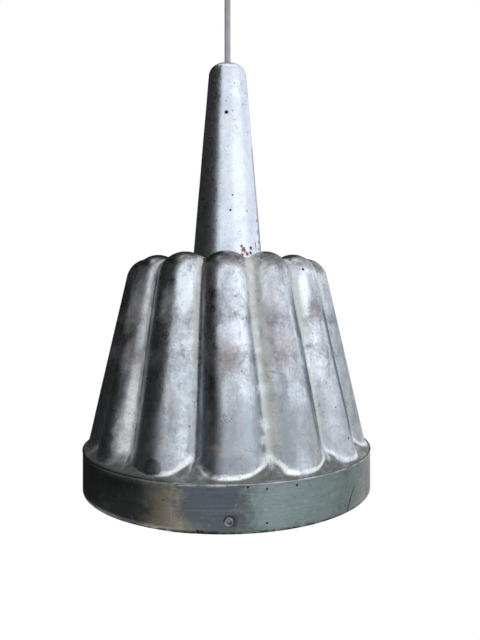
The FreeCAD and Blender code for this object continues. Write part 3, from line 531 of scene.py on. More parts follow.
ROUND_STAIN = Blot((155, 468, 116), 8.5)
SHADE_CLOUDS = {
    "front_foot": Blot((240, 440, 118), 34, (0.34, 0.37, 0.41), 0.75),
    "right_foot": Blot((290, 432, 118), 36, (0.29, 0.315, 0.36), 0.8),
    "right2_foot": Blot((338, 425, 117), 28, (0.40, 0.44, 0.50), 0.6),
    "right_brown": Blot((280, 350, 108), 26, (0.26, 0.235, 0.235), 0.95),
    "front_brown": Blot((226, 356, 108), 20, (0.24, 0.22, 0.225), 0.95),
    "right_grey": Blot((274, 316, 100), 20, (0.24, 0.23, 0.25), 0.85),
    "right2_grey": Blot((318, 312, 100), 12, (0.22, 0.21, 0.23), 0.85),
    "front_black": Blot((212, 314, 100), 13, (0.08, 0.075, 0.08), 0.9),
    "left_grey": Blot((165, 318, 100), 14, (0.19, 0.185, 0.20), 0.7),
    "left_head": Blot((175, 262, 82), 12, (0.16, 0.16, 0.17), 0.6),
    "front_head": Blot((225, 257, 83), 11, (0.075, 0.075, 0.08), 0.85),
    "left2_brown": Blot((132, 345, 108), 16, (0.17, 0.155, 0.16), 0.7),
    "front_upper_dark": Blot((213, 296, 94), 11, (0.13, 0.13, 0.135), 0.8),
    "front_middle_dark": Blot((214, 345, 106), 10, (0.16, 0.145, 0.145), 0.7),
    # The next five are painted highlights, and on the second right flute one painted shadow
    "left_painted_highlight": Blot((186, 345, 106), 18, (0.88, 0.94, 1.0)),
    "right2_painted_highlight": Blot((316, 352, 106), 20, (0.88, 0.94, 1.0)),
    "front_upper_painted_highlight": Blot((234, 317, 101), 10, (0.80, 0.86, 0.95), 0.7),
    "right2_painted_shadow": Blot((317, 306, 96), 9, (0.22, 0.21, 0.23), 0.8),
    "front_painted_highlight": Blot((236, 333, 104), 16, (0.82, 0.88, 0.97), 0.5),
}
SHADE_BANDS = {
    # left_low, left_high, right2_low and right2_high are painted highlights
    "left_low": Stroke((185, 375, 110), (185, 462, 119), 11, PAINTED_HIGHLIGHT),
    "left_high": Stroke((184, 278, 88), (184, 330, 104), 9, PAINTED_HIGHLIGHT, 0.8),
    "left_foot": Stroke((170, 445, 119), (172, 465, 120), 6, (0.42, 0.45, 0.50), 0.6),
    "right2_low": Stroke((316, 385, 108), (327, 455, 114), 6, PAINTED_HIGHLIGHT, 0.9),
    "right2_high": Stroke((303, 282, 88), (311, 350, 102), 6.5, PAINTED_HIGHLIGHT, 0.8),
    "right_low": Stroke((281, 395, 110), (287, 465, 117), 7.5, (0.33, 0.37, 0.42), 0.75),
    "front_low": Stroke((246, 400, 112), (252, 460, 117), 6, (0.40, 0.47, 0.54), 0.6),
    "front_foot": Stroke((214, 466, 121), (250, 464, 121), 8, (0.30, 0.33, 0.38), 0.75),
}
# Matt patches whose pale colour is painted light on the dark left flutes
PAINTED_LIGHT_FILMS = {
    "left2_high": Blot((131, 300, 98), 20, PAINTED_LIGHT_GREY, flat=0.62),
    "left2_middle": Blot((126, 355, 108), 20, PAINTED_LIGHT_GREY, flat=0.55),
    "left2_low": Blot((119, 410, 116), 16, PAINTED_LIGHT_GREY, flat=0.55),
    "left_high": Blot((164, 300, 98), 11, PAINTED_LIGHT_GREY, flat=0.5),
    "left2_edge": Blot((143, 302, 94), 8, (0.85, 0.86, 0.86), flat=0.45),
    "left2_line": Blot((127, 388, 110), 16, (0.95, 0.96, 1.0), flat=0.30),
    "left2_shin": Blot((119, 432, 115), 14, PAINTED_LIGHT_WHITE, flat=0.35),
    "left2_toe": Blot((121, 452, 118), 13, PAINTED_LIGHT_WHITE, flat=0.8),
    "left3_toe": Blot((91, 457, 120), 10, (0.80, 0.79, 0.72)),
}
SOLDER_SPOTS = {
    "right_foot": Blot((268, 459, 113), 8.5, amount=0.95),
    "right_low": Blot((264, 440, 108), 6, amount=0.8),
    "right_lump": Blot((266, 424, 106), 7.5, amount=0.95),
    "right_middle": Blot((259, 350, 93), 5, amount=0.7),
    "right_streak": Blot((263, 388, 100), 7, amount=0.8),
    "right_upper": Blot((256, 322, 88), 5, amount=0.6),
    "right2_foot": Blot((322, 456, 110), 4.5, amount=0.6),
    "right_high": Blot((251, 288, 78), 5, amount=0.8),
    "right_dab": Blot((250, 305, 82), 5, amount=0.5),
    "right2_high": Blot((300, 262, 75), 6, amount=0.5),
    "left_foot": Blot((196, 470, 114), 6, amount=0.35),
}
SHADE_SPOTS = {
    "front_pit": Blot((246, 408, 116), 1.4, BLACK),
    "front_dot": Blot((221, 389, 113), 0.8, BLACK),
    "right2_pit": Blot((325, 364, 108), 1.4, BLACK),
    "right2_head_pit": Blot((303, 269, 86), 1.4, BLACK),
    "right2_head_dot": Blot((301, 278, 88), 1.2, BLACK),
    "right_dot": Blot((276, 306, 98), 1, BLACK),
    "front_right_dot": Blot((238, 384, 112), 1.1, BLACK),
    "front_upper_dot": Blot((230, 342, 106), 0.8, BLACK),
    "right2_rust": Blot((348, 438, 117), 1.4, RUST),
    "right_head_rust": Blot((268, 256, 80), 1.6, RUST),
    "left_rust": Blot((190, 342, 106), 1, RUST),
    "left_head_smudge": Blot((196, 268, 88), 5, (0.22, 0.21, 0.22)),
}
NECK_SPOTS = {
    "big_pit": Blot((226.5, 112.5, 19.5), 2.5, BLACK),
    "dot_above_it": Blot((226, 101, 19), 0.9, BLACK),
    "dot_right_of_it": Blot((242.5, 105, 19), 1.1, BLACK),
    "dot_left_of_it": Blot((213.5, 125.5, 20.5), 0.9, BLACK),
    "upper_left_dot": Blot((213.5, 104, 19), 0.8, BLACK),
    "low_dot": Blot((232.5, 195, 26.2), 1.1, BLACK),
    "low_pit": Blot((230.5, 210, 27.5), 1.3, BLACK),
    "tan_dot": Blot((247, 211, 27.7), 1.3, (0.42, 0.30, 0.18)),
}
NECK_BLOTS = {
    "foot_top": Blot((241.5, 246, 30.3), 2, BROWN),
    "foot_middle": Blot((243.5, 250, 30.4), 3.4, BROWN),
    "foot_low": Blot((242, 255, 30.6), 2.6, RUST),
    "foot_right": Blot((247, 254, 30.6), 2.4, BROWN),
    "foot_black": Blot((250.7, 248, 30.3), 2.2, BLACK),
    "foot_black_low": Blot((250.5, 253, 30.6), 2.1, BLACK),
    "edge_high": Blot((256.3, 221, 28.1), 1.9, BROWN),
    "edge_middle": Blot((257.6, 232, 29), 2.6, BROWN),
    "edge_low": Blot((258.4, 242, 29.7), 2.4, BROWN),
    "edge_foot": Blot((258.6, 249, 30.3), 2, RUST),
    "top_left": Blot((221, 79, 17.8), 0.8, BLACK),
    "top_right": Blot((241, 84, 18), 0.7, BLACK),
    "top_far_right": Blot((244, 81, 18), 0.7, BLACK),
    "upper_right": Blot((231, 95, 18.6), 0.9, BLACK),
    "upper_left": Blot((228, 97.5, 18.7), 0.8, BLACK),
}
NECK_STROKES = {
    "rust_high": Stroke((254, 216, 30.3), (254.8, 221, 31.2), 0.9, BROWN),
    "rust_middle": Stroke((255.2, 230, 30.3), (256, 237, 31.2), 1, BROWN),
    "rust_low": Stroke((255.6, 243, 30.3), (256.6, 250, 31.2), 1, BROWN),
    # Painted shade along the neck's right edge
    "upper_edge_painted_shade": Stroke((251.9, 150, 22.6), (256.6, 205, 26.9), 4.5, (0.38, 0.40, 0.44)),
    "lower_edge_painted_shade": Stroke((257.0, 210, 27.2), (260.4, 250, 30.3), 4.5, (0.26, 0.25, 0.235)),
}
BAND_PATCHES = {
    "tan": Blot((163, 512, BAND), 33, (0.34, 0.31, 0.26), 0.95, 1.3, 0.4),
    "blue": Blot((212, 505, BAND), 30, (0.098, 0.114, 0.136), 0.95, 1.2, 0.5),
    "pale": Blot((280, 505, BAND), 30, (0.235, 0.30, 0.32), 0.95, 1.0, 0.45),
    "green": Blot((318, 500, BAND), 34, (0.195, 0.255, 0.255), 0.8, 1.2, 0.5),
    "dark_green": Blot((352, 490, BAND), 24, (0.13, 0.18, 0.165), 0.85, 1.2, 0.6),
    "right_end": Blot((369, 486, BAND), 20, (0.058, 0.057, 0.050), 0.98, 0.5, 0.5),
    "left_end": Blot((126, 500, BAND), 26, (0.072, 0.084, 0.084), 0.85, 1.0, 0.5),
}
BAND_SPOTS = {
    "foot_red": Blot((198, 531.5, BAND), 1.8, (0.10, 0.02, 0.012)),
    "foot_red_right": Blot((202, 531.8, BAND), 1.6, (0.10, 0.02, 0.012)),
    "upper_right_dot": Blot((297, 485, BAND), 1.3, (0.06, 0.03, 0.02)),
    "upper_middle_dot": Blot((267, 489, BAND), 1.1, (0.08, 0.035, 0.02)),
    "low_dot": Blot((267, 523, BAND), 1, (0.03, 0.02, 0.018)),
    "upper_left_dot": Blot((248, 487, BAND), 1, (0.03, 0.02, 0.018)),
    # A painted shadow round the front pin
    "painted_shadow_round_the_pin": Blot((231, 521.5, BAND), 5.2, (0.045, 0.05, 0.055)),
}
BAND_STROKES = {
    "scratch_high": Stroke((354, 487, BAND), (350.5, 498, BAND), 1, (0.03, 0.03, 0.03)),
    "scratch_low": Stroke((350.5, 498, BAND), (347.5, 510, BAND), 1.2, (0.025, 0.025, 0.025)),
}


# Meshes

def grid_piece(name, points, material, ring=True, masks=None):
    """A smooth piece from a closed loop of rows of points in metres, each row a ring or open."""
    rows, columns = points.shape[:2]
    here = np.arange(rows * columns).reshape(rows, columns)
    down = np.roll(here, -1, 0)
    if ring:
        quads = np.stack([here, np.roll(here, -1, 1), np.roll(down, -1, 1), down], -1)
    else:
        quads = np.stack([here[:, :-1], here[:, 1:], down[:, 1:], down[:, :-1]], -1)
    mesh = bpy.data.meshes.new(name)
    mesh.from_pydata(points.reshape(-1, 3).tolist(), [], quads.reshape(-1, 4).tolist())
    for key, values in (masks or {}).items():
        layer = mesh.attributes.new(key, "FLOAT", "POINT")
        layer.data.foreach_set("value", values.astype(np.float32).ravel())
    mesh.polygons.foreach_set("use_smooth", [True] * len(mesh.polygons))
    mesh.materials.append(material)
    mesh.update()
    piece = bpy.data.objects.new(name, mesh)
    bpy.context.scene.collection.objects.link(piece)
    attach(piece, "pendant")
    return piece


def smooth(value, low, high):
    """Smoothly from 0 to 1 while value goes from low to high."""
    t = np.clip((value - low) / (high - low), 0.0, 1.0)
    return t * t * (3 - 2 * t)


def around(reach, turns, high):
    """Points from their reach, their angle round the axis and their height."""
    return np.stack(np.broadcast_arrays(reach * np.cos(turns), reach * np.sin(turns), high), -1)


class Waves:
    """A smooth field of shallow dents: a fixed sum of waves in space."""

    def __init__(self, seed, count, longest, shortest):
        draw = np.random.default_rng(seed)
        ways = draw.normal(size=(count, 3))
        ways /= np.linalg.norm(ways, axis=1, keepdims=True)
        lengths = np.exp(draw.uniform(math.log(shortest), math.log(longest), count))
        self.waves = ways * (2 * math.pi / lengths)[:, None]
        self.phases = draw.uniform(0, 2 * math.pi, count)
        self.weights = lengths / lengths.sum() * math.sqrt(2.0 * count)

    def __call__(self, points):
        turned = points @ self.waves.T + self.phases
        return (np.sin(turned) * self.weights).sum(-1) / math.sqrt(len(self.phases))


# The mould, in millimetres over its mouth
FLUTES = 14
PITCH = 2 * math.pi / FLUTES
FRONT_TURN = math.radians(-90 + 1.8)
SKIRT_RADIUS, FLANGE_LOW, SKIRT_ROUND = 124.1, 33.4, 1.1
FLANGE_INNER, FLANGE_TOP = 104.1, 38.5
ROOT, ROOT_LOBE = (97.3, 23.8), 25.6
HEAD, HEAD_LOBE = (69.3, 174.0), 20.0
CROWN_EDGE, CROWN_Z = 67.5, 183.0
COLLAR_RADIUS, COLLAR_TOP = 30.7, 189.0
SHEET = 1.0
VALLEY_ROUND, CROWN_ROUND = 5.0, 3.0
FOOT_ROUND, FOOT_ROUND_VALLEY = 4.0, 11.0
DENT_DEPTH = 0.24

# Painted shade on the right flanks, for the front flute, the next three to the right and the rest:
# where each begins, from -1 at a flute's left valley to 1 at its right, and how dark it is
FLANK_BEGINS = (0.62, 0.34, -0.05, -1.3, 0.55)
FLANK_WEIGHTS = (0.26, 0.85, 1.0, 0.55, 0.3)

# How far each valley strays from even spacing, in degrees, from the one left of
# the front flute round to the same one again: at the foot and at the heads, and
# the heights where they are nil, where the first hold and where the second do
LOW_STRAYS = (0, 2.6, 2.2, 0.0) + (0,) * 7 + (-1.0, -2.5, -2.5, 0)
TOP_STRAYS = (-1.5, -0.9, -1.5, -2.0) + (-1.5,) * 7 + (-2.0, -3.0, -4.0, -1.5)
STRAY_NONE, STRAY_LOW, STRAY_TOP = 34, 40, 175


def round_union(a, b, radius):
    """The union of two forms, its hollow corner filled to that radius."""
    u, v = np.maximum(radius - a, 0.0), np.maximum(radius - b, 0.0)
    return np.maximum(radius, np.minimum(a, b)) - np.hypot(u, v)


def lobe_distance(reach, turn, high):
    """Distance to one flute whose middle is at turn 0."""
    x, y = reach * np.cos(turn), reach * np.sin(turn)
    run = np.array([HEAD[0] - ROOT[0], HEAD[1] - ROOT[1]])
    t = ((x - ROOT[0]) * run[0] + (high - ROOT[1]) * run[1]) / (run @ run)
    t = np.clip(t, 0.0, 1.0)
    gap = np.sqrt((x - ROOT[0] - t * run[0]) ** 2 + y ** 2 + (high - ROOT[1] - t * run[1]) ** 2)
    return gap - (ROOT_LOBE + (HEAD_LOBE - ROOT_LOBE) * t)


def mould_distances(reach, turn, high):
    """Distances to the mould's outside, its body and its skirt, negative inside."""
    flutes = lobe_distance(reach, turn, high)
    for side in (-PITCH, PITCH):
        flutes = round_union(flutes, lobe_distance(reach, turn - side, high), VALLEY_ROUND)
    lean = math.atan2(FLANGE_INNER - CROWN_EDGE, CROWN_Z - FLANGE_TOP)
    core = (reach - FLANGE_INNER) * math.cos(lean) + (high - FLANGE_TOP) * math.sin(lean)
    body = round_union(flutes, np.maximum(core, high - CROWN_Z), CROWN_ROUND)
    rise = math.atan2(FLANGE_TOP - FLANGE_LOW, SKIRT_RADIUS - FLANGE_INNER)
    flange = (high - FLANGE_LOW) * math.cos(rise) + (reach - SKIRT_RADIUS) * math.sin(rise)
    skirt = -round_union(SKIRT_RADIUS - reach, -flange, SKIRT_ROUND)
    between = smooth(np.abs(turn) / (PITCH / 2), 0.45, 1.0)
    foot = FOOT_ROUND + (FOOT_ROUND_VALLEY - FOOT_ROUND) * between
    return round_union(body, skirt, foot), body, skirt


# Rays from inside the mould, as (reach, height, angle, rays up to the next)
RAYS = [
    (100.0, 0.0, 0.0, 4), (100.0, 29.0, 0.0, 2), (104.0, 20.0, 29.5, 10), (104.0, 20.0, 37.5, 26),
    (88.0, 34.0, 62.0, 13), (60.0, 95.0, 12.0, 20), (48.0, 150.0, 12.0, 26),
    (56.0, 150.0, 90.0, 12), (33.0, 150.0, 90.0, 1), (COLLAR_RADIUS, 150.0, 90.0, 0)]


def ray_rows():
    """Where each ray starts and its angle, evenly spaced from one of RAYS to the next."""
    runs = [np.linspace(ray[:3], following[:3], ray[3], endpoint=False)
            for ray, following in zip(RAYS, RAYS[1:])]
    return np.vstack(runs + [RAYS[-1][:3]])


def flute_turns(steps=34):
    """Angles across one flute, crowded towards its two valleys."""
    t = np.linspace(-1, 1, steps + 1)[:-1]
    ring, radius, spread, crowding = 83.0, 23.0, math.radians(64), 0.16
    lobe = spread * (t + crowding * np.sin(math.pi * t))
    turn = np.arctan2(radius * np.sin(lobe), ring + radius * np.cos(lobe))
    return turn / np.abs(turn[0]) * PITCH / 2


def mould_rows(inset):
    """Reach and height of the sheet's surface along each ray of one flute, neared in steps."""
    steps, share = 90, 0.9
    rows, turn = ray_rows(), flute_turns()[None, :]
    start_r, start_z = rows[:, :1], rows[:, 1:2]
    way_r, way_z = np.cos(np.radians(rows[:, 2:])), np.sin(np.radians(rows[:, 2:]))
    far = np.zeros((len(rows), turn.shape[1]))
    for _ in range(steps):
        gap = mould_distances(start_r + far * way_r, turn, start_z + far * way_z)[0]
        far -= (gap + inset) * share
    return start_r + far * way_r, start_z + far * way_z


def mould_surface(inset):
    """Reach, angle and height of the whole sheet's surface, up to its collar."""
    reach, high = mould_rows(inset)
    collar = COLLAR_RADIUS - inset
    extra = np.ones((1, reach.shape[1]))
    reach = np.vstack([reach[:-1], collar * extra, collar * extra])
    high = np.vstack([high[:-1], (CROWN_Z - inset) * extra, COLLAR_TOP * extra])
    reach, high = np.tile(reach, (1, FLUTES)), np.tile(high, (1, FLUTES))
    turns = np.concatenate([flute_turns() + PITCH * k for k in range(FLUTES)])[None, :]
    turns = np.broadcast_to(turns, reach.shape)
    return reach, turns, high


def stray(turns, high):
    """The angle by which the flutes leave their even places at each height."""
    valleys = PITCH * (np.arange(FLUTES + 1) - 0.5)
    low = np.interp(turns, valleys, LOW_STRAYS)
    top = np.interp(turns, valleys, TOP_STRAYS)
    strays = low + (top - low) * smooth(high, STRAY_LOW, STRAY_TOP)
    return np.radians(strays) * smooth(high, STRAY_NONE, STRAY_LOW)


def dented(reach, turns, high, waves, free):
    """Points in metres, with the sheet moved in and out where it is free."""
    bearing = turns + FRONT_TURN + stray(turns, high)
    points = around(reach, bearing, high)
    normal = np.cross(np.gradient(points, axis=1), np.gradient(points, axis=0))
    normal /= np.maximum(np.linalg.norm(normal, axis=-1, keepdims=True), 1e-9)
    moved = points + normal * (waves(points) * DENT_DEPTH * free)[..., None]
    moved[..., 2] += MOUTH_Z
    return moved * MM


def mould_masks(reach, turns, high, wander):
    """Where the bloom, the flange's soot and painted shade, the painted highlights on the toes and the
    painted shade on the flutes' sides lie.
    """
    lobe = np.floor(turns / PITCH + 0.5 + 1e-6)
    side = (turns / PITCH - lobe) * 2
    wide = 0.11 * smooth(high, 105, 160)
    shaded = np.isin(lobe, (0, FLUTES - 1, FLUTES - 2, FLUTES - 3)) & (side < 0)
    valley = smooth(np.abs(side) + wander + wide, 0.86, 0.98) * smooth(high, 35, 42)
    # Little bloom in the shaded valleys on the left and low on the right flute's right side, so these
    # stay dark: painted shade
    valley = valley * np.where(shaded, np.where(lobe == FLUTES - 2, 0.6, 0.12), 1.0)
    valley = valley * np.where((lobe == 1) & (side > 0), smooth(high, 120, 150), 1.0)
    right_of_front = np.where(lobe == 1, smooth(-side + wander, 0.60, 0.78), 0.0)
    valley = np.maximum(valley, right_of_front * smooth(high, 36, 50))

    body, skirt = mould_distances(reach, side * PITCH / 2, high)[1:]
    flange = smooth(body, 1.1, 2.4) * smooth(high, 47, 39)
    toe = smooth(np.minimum(body, skirt), 0.03, 0.45) * smooth(body, 1.9, 0.9)

    # Painted shade along the flutes' right flanks
    kind = np.minimum(lobe, len(FLANK_BEGINS) - 1).astype(int)
    begin = np.choose(kind, FLANK_BEGINS)
    painted_flank_shade = smooth(side + wander, begin, begin + 0.2) * np.choose(kind, FLANK_WEIGHTS)
    painted_flank_shade = painted_flank_shade * smooth(high, 40, 60) * smooth(high, 178, 140)
    painted_flank_shade = painted_flank_shade * np.where(lobe == 3, smooth(side, 0.2, -0.3), 1.0)
    # Painted shade on the front flute's left side, low down
    front_left_painted_shade = np.where(lobe == 0, smooth(side + wander, -0.12, -0.36), 0.0) * smooth(high, 130, 90)
    front_left_painted_shade = front_left_painted_shade * smooth(side + wander, -0.62, -0.46)
    return {"valley": valley, "flange": flange, "toe": toe, "painted_flank_shade": painted_flank_shade, "front_left_painted_shade": front_left_painted_shade}


def fluted_shade():
    """The mould, its outside and its inside one sheet apart, dented alike."""
    waves = Waves(seed=5, count=26, longest=70.0, shortest=16.0)
    wander_depth, wander_scale = 0.035, 1.7
    skins, covers = [], []
    for inset in (0.0, SHEET):
        reach, turns, high = mould_surface(inset)
        free = smooth(high, FLANGE_LOW, FLANGE_LOW + 14)
        free = free * smooth(reach, COLLAR_RADIUS + 3, COLLAR_RADIUS + 16)
        points = dented(reach, turns, high, waves, free)
        wander = wander_depth * waves(points / MM * wander_scale)
        masks = mould_masks(reach, turns, high, wander)
        outside = inset == 0
        order = slice(None) if outside else slice(None, None, -1)
        skins.append(points[order])
        covers.append({key: (mask * outside)[order] for key, mask in masks.items()})
    masks = {key: np.concatenate([cover[key] for cover in covers]) for key in covers[0]}
    return grid_piece("fluted_shade", np.concatenate(skins), tinplate(), masks=masks)


def arc(center, radius, start, end, steps):
    """Points of an arc in the profile's plane, angles in degrees."""
    turns = np.radians(np.linspace(start, end, steps + 1))
    return list(zip(center[0] + radius * np.cos(turns), center[1] + radius * np.sin(turns)))


def neck():
    """The closed cone on the crown, with a soft shoulder round its hole."""
    foot, top, wall, round_radius = -331.0, -145.5, 0.8, 8.0
    foot_radius, top_radius, hole = 32.1, 16.3, 5.15
    side_steps, shoulder_steps, top_steps = 70, 14, 3
    lean = math.atan2(foot_radius - top_radius, top - foot)

    def skin(inset):
        corner = round_radius - inset
        middle_z = top - round_radius
        low_r = foot_radius - inset / math.cos(lean)
        middle_r = low_r - (middle_z - foot) * math.tan(lean) - corner / math.cos(lean)
        start_r, start_z = middle_r + corner * math.cos(lean), middle_z + corner * math.sin(lean)
        side = [(low_r + (start_r - low_r) * k / side_steps, foot + (start_z - foot) * k / side_steps)
                for k in range(side_steps)]
        shoulder = arc((middle_r, middle_z), corner, math.degrees(lean), 90, shoulder_steps)
        last_r = shoulder[-1][0]
        flat = [(last_r + (hole - last_r) * k / top_steps, top - inset)
                for k in range(1, top_steps + 1)]
        return side + shoulder + flat

    waves = Waves(seed=11, count=18, longest=60.0, shortest=20.0)
    dent_depth = 0.16

    def dent(points):
        away = np.linalg.norm(points[..., :2], axis=-1, keepdims=True)
        high = points[..., 2:3]
        free = smooth(high, foot + 2, foot + 14) * smooth(high, top - 2, top - 14)
        move = waves(points)[..., None] * dent_depth * free
        points[..., :2] *= 1 + move / np.maximum(away, 1.0)
        return points

    turns = np.linspace(0, 2 * math.pi, 200, endpoint=False)
    reach, high = np.array(skin(0.0) + skin(wall)[::-1]).T[..., None]
    return grid_piece("neck_cone_skin", dent(around(reach, turns, high)) * MM, neck_tin())


# The band, in millimetres over its foot: its waves, its outer end and its pins, which
# stand that many degrees past the front
BAND_SHEET, BAND_TOP = 0.8, 32.8
BAND_WAVE, TORN_OUT, TORN_UP = 0.10, 0.08, 0.16
LAP_TURN, LAP_LENGTH = math.radians(-90 - 16.0), math.radians(17.0)
LAP_CORNER, LAP_LIP = 8.0, 0.3
PIN_Z = 8.5
PIN_TURNS = {"front": 1.8, "right": 121.8, "left": 241.8}


def band_strip(material, waves):
    """The strip round the mouth, with a torn top edge on the right of its end."""
    ragged = Waves(seed=19, count=40, longest=22.0, shortest=2.5)
    turns = np.linspace(0, 2 * math.pi, 720, endpoint=False)
    radius, top, back = BAND_RADIUS, BAND_TOP, BAND_RADIUS - BAND_SHEET
    section = [(radius - 0.12, 0.0), (radius, 0.15)]
    section += [(radius, 0.15 + (top - 1.95) * k / 9) for k in range(1, 10)]
    section += [(radius + 0.10, top - 1.2), (radius + 0.30, top - 0.5), (radius + 0.30, top - 0.1),
                (radius + 0.05, top + 0.05), (radius - 0.5, top - 0.05), (back, top - 0.3),
                (back, top / 2), (back, 0.2)]
    reach, high = np.array(section).T[..., None]
    flat = around(radius, turns, high)
    past_lap = (turns - LAP_TURN) % (2 * math.pi)
    edge = smooth(high, top - 1.2, top - 0.3)
    edge = edge * smooth(past_lap, 0.00, 0.02) * smooth(past_lap, math.radians(170), math.radians(110))
    out = reach + ragged(flat + 40.0) * TORN_OUT * edge + waves(flat) * BAND_WAVE
    up = high + ragged(flat) * TORN_UP * edge + MOUTH_Z
    points = around(out, turns, up) * MM
    return grid_piece("band_strip", points, material, masks={"edge": edge})


def band_lap(material, waves):
    """The strip's outer end, which rides up over it and thins to the right."""
    columns, low_rows, corner_rows = 60, 8, 17
    lap_top = BAND_TOP - 0.5
    corner_z = lap_top - LAP_CORNER
    along = np.linspace(0, 1, columns) ** 1.5
    rounding = np.sin(np.linspace(0, math.pi / 2, corner_rows)[1:])
    levels = np.concatenate([np.linspace(0.2, corner_z, low_rows), corner_z + LAP_CORNER * rounding])
    above = np.maximum(levels - corner_z, 0)
    inset = LAP_CORNER - np.sqrt(np.maximum(LAP_CORNER ** 2 - above ** 2, 0))
    start = (LAP_TURN + inset / BAND_RADIUS)[:, None]
    turns = start + (LAP_TURN + LAP_LENGTH - start) * along
    levels = levels[:, None] + 0 * turns
    wobble = waves(around(BAND_RADIUS, turns, levels)) * BAND_WAVE
    lip = smooth(levels, lap_top - 1.8, lap_top)
    thick = BAND_SHEET * 0.95 * (1 - smooth((turns - LAP_TURN) / LAP_LENGTH, 0.0, 1.0)) - 0.05
    outside = around(BAND_RADIUS + wobble + thick + lip * LAP_LIP, turns, levels + MOUTH_Z)
    inside = around(BAND_RADIUS + wobble - 0.3, turns, levels + MOUTH_Z)
    loop = np.concatenate([outside, inside[::-1]])
    end = smooth(along, 0.02, 0.0) * 0.6
    mask = np.concatenate([np.maximum(lip, end), 0 * lip])
    return grid_piece("band_lap", loop * MM, material, ring=False, masks={"edge": mask})


def rivet(name, turn, material):
    """A closed pin: a rolled ring round a small sunk button."""
    profile = [(0.02, 0.9), (0.7, 0.85), (1.1, 0.55), (1.45, 0.35)]
    profile += arc((2.35, 0.55), 0.95, 190, 0, 9)
    profile += [(3.35, 0.1), (3.4, -0.6), (0.02, -0.6)]
    radius, stand = np.array(profile).T[..., None]
    steps = np.linspace(0, 2 * math.pi, 40, endpoint=False)
    x = radius * np.cos(steps)
    out = BAND_RADIUS + stand + 0 * steps
    points = np.stack([out * math.cos(turn) - x * math.sin(turn),
                       out * math.sin(turn) + x * math.cos(turn),
                       PIN_Z + radius * np.sin(steps) + MOUTH_Z], -1)
    return grid_piece(name, points * MM, material)


shade = fluted_shade()
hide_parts("fluted_mould")
cone = neck()
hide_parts("neck_cone")
band_material = band_tin()
band_waves = Waves(seed=17, count=20, longest=90.0, shortest=14.0)
strip = band_strip(band_material, band_waves)
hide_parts("rim_band")
band_lap(band_material, band_waves)
rivet_tin = worn_metal("rivet_tin", (0.12, 0.13, 0.135), (0.30, 0.31, 0.32), 0.24, 900.0)
for side, turn in PIN_TURNS.items():
    pin = rivet("pin_" + side, math.radians(-90 + turn), rivet_tin)
    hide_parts("band_rivet_" + side)


# Finishes of the other parts

zinc = worn_metal("zinc_plate", (0.50, 0.51, 0.50), (0.66, 0.66, 0.63), 0.28)
brass = worn_metal("brass_dull", (0.56, 0.40, 0.17), (0.72, 0.54, 0.26), 0.26)
bakelite = moulded("bakelite", (0.012, 0.010, 0.009), (0.026, 0.020, 0.016), 0.22)
porcelain = moulded("porcelain", (0.78, 0.76, 0.70), (0.86, 0.85, 0.80), 0.18)
enamel = moulded("cup_enamel", (0.70, 0.70, 0.68), (0.78, 0.78, 0.765), 0.30)
nylon = moulded("grip_nylon", (0.46, 0.47, 0.48), (0.56, 0.57, 0.58), 0.38)
cord_skin = moulded("cord_skin", (0.42, 0.43, 0.45), (0.52, 0.53, 0.55), 0.34)
opal = opal_bulb()

FINISHES = {
    zinc: ["hanger_tube", "neck_washer", "neck_nut", "holder_lock_nut", "locking_screw",
           "grip_screw", "cup_nipple", "ceiling_bracket", "bracket_nut_upper",
           "bracket_nut_lower"],
    brass: ["live_terminal_screw", "neutral_terminal_screw", "middle_contact", "threaded_liner"],
    bakelite: ["holder_cap", "holder_shell"],
    porcelain: ["contact_block", "terminal_block"],
    enamel: ["ceiling_cup"],
    nylon: ["cord_grip", "edge_bush"],
    cord_skin: ["inner_cord", "cord_tail"],
    opal: ["bulb"],
}
for material, names in FINISHES.items():
    for name in names:
        for holder in nodes[name].material_slots:
            holder.material = material

cable.data.materials.append(cord_skin)
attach(cable, "pendant")
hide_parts("cord")


# Floor, light and world

FLOOR_Z = -1.4
FLOOR_FADE = (0.45, 1.05)


def stage_piece(name, points, faces, material):
    """A flat-faced thing of the studio, which isn't part of the lamp."""
    mesh = bpy.data.meshes.new(name)
    mesh.from_pydata(points, [], faces)
    mesh.materials.append(material)
    piece = bpy.data.objects.new(name, mesh)
    bpy.context.scene.collection.objects.link(piece)
    return piece


def seen_directly(tree):
    """1 for rays that come straight from the eye, off metal or through glass."""
    path = tree.nodes.new("ShaderNodeLightPath")
    total = path.outputs["Is Camera Ray"]
    for name in ("Is Glossy Ray", "Is Transmission Ray"):
        add = tree.nodes.new("ShaderNodeMath")
        add.operation, add.use_clamp = "ADD", True
        tree.links.new(total, add.inputs[0])
        tree.links.new(path.outputs[name], add.inputs[1])
        total = add.outputs[0]
    return total


def floor_material():
    """Pale floor that keeps shadows near the lamp and is white far away."""
    paint = Paint("floor_pale", Base_Color=(0.86, 0.86, 0.86, 1), Roughness=0.9)
    fade_from, fade_full = FLOOR_FADE
    away = paint.vector("LENGTH", paint.place)
    far = paint.add("MapRange", {"Value": away, "From Min": fade_from, "From Max": fade_full})
    seen = paint.times(far.outputs["Result"], seen_directly(paint.tree))
    white = paint.add("Emission", {}).outputs[0]
    mix = paint.add("MixShader", {0: seen, 1: paint.shader.outputs[0], 2: white}).outputs[0]
    paint.tree.links.new(mix, paint.tree.nodes["Material Output"].inputs["Surface"])
    return paint.material


floor = stage_piece("floor", [(-8, -8, 0), (8, -8, 0), (8, 8, 0), (-8, 8, 0)],
                    [(0, 1, 2, 3)], floor_material())
floor.location.z = FLOOR_Z

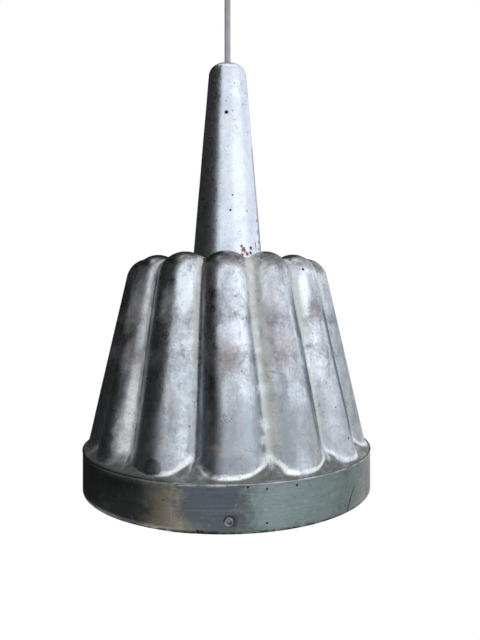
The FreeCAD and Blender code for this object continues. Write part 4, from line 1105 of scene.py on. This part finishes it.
# A dark studio flag on the left, which only reflections see
FLAG_REACH, FLAG_LOW, FLAG_HIGH = 1.7, -1.35, 3.2
FLAG_TURNS = [math.radians(-90 - turn) for turn in range(36, 202, 5)]
flag_points, flag_faces = [], []
for number, turn in enumerate(FLAG_TURNS):
    for high in (FLAG_LOW, FLAG_HIGH):
        flag_points.append((FLAG_REACH * math.cos(turn), FLAG_REACH * math.sin(turn), high))
    if number:
        a = 2 * number
        flag_faces.append((a - 2, a, a + 1, a - 1))
flag_cloth = Paint("flag_cloth", Base_Color=(0.026, 0.025, 0.021, 1), Roughness=1.0)
flag = stage_piece("flag", flag_points, flag_faces, flag_cloth.material)
flag.visible_camera = False
flag.visible_shadow = False
flag.visible_diffuse = False


def area_lamp(name, place, size, power, color):
    """A rectangular lamp that faces the middle of the shade."""
    data = bpy.data.lights.new(name, "AREA")
    data.shape = "RECTANGLE"
    data.size, data.size_y = size
    data.energy = power
    data.color = color
    lamp = bpy.data.objects.new(name, data)
    lamp.location = place
    lamp.rotation_euler = (Vector(MIDDLE) - Vector(place)).to_track_quat("-Z", "Y").to_euler()
    bpy.context.scene.collection.objects.link(lamp)
    return lamp


# The second lamp at each place lights what is matt and doesn't show in the metal
MIDDLE = (0, 0, -0.35)
WINDOW, WINDOW_SIZE, WINDOW_COLOR = (1.5, -1.25, 0.15), (1.9, 2.4), (0.94, 0.97, 1.0)
OVERHEAD, OVERHEAD_SIZE = (0.1, -0.15, 1.4), (1.6, 1.6)
area_lamp("window_gleam", WINDOW, WINDOW_SIZE, 4.5, WINDOW_COLOR)
window = area_lamp("window", WINDOW, WINDOW_SIZE, 14, WINDOW_COLOR)
area_lamp("overhead_gleam", OVERHEAD, OVERHEAD_SIZE, 5, (1.0, 0.99, 0.97))
overhead = area_lamp("overhead", OVERHEAD, OVERHEAD_SIZE, 5, (1.0, 0.98, 0.95))
window.visible_glossy = False
overhead.visible_glossy = False

# The world lights at the lower level and is seen at the higher one
WORLD_LIGHT, WORLD_WHITE = 0.45, 1.0
world = bpy.data.worlds.new("studio")
world.use_nodes = True
bpy.context.scene.world = world
background = world.node_tree.nodes["Background"]
level = world.node_tree.nodes.new("ShaderNodeMapRange")
level.inputs["To Min"].default_value = WORLD_LIGHT
level.inputs["To Max"].default_value = WORLD_WHITE
world.node_tree.links.new(seen_directly(world.node_tree), level.inputs["Value"])
world.node_tree.links.new(level.outputs["Result"], background.inputs["Strength"])
background.inputs["Color"].default_value = (1, 1, 1, 1)

bpy.context.scene.view_settings.view_transform = "Standard"
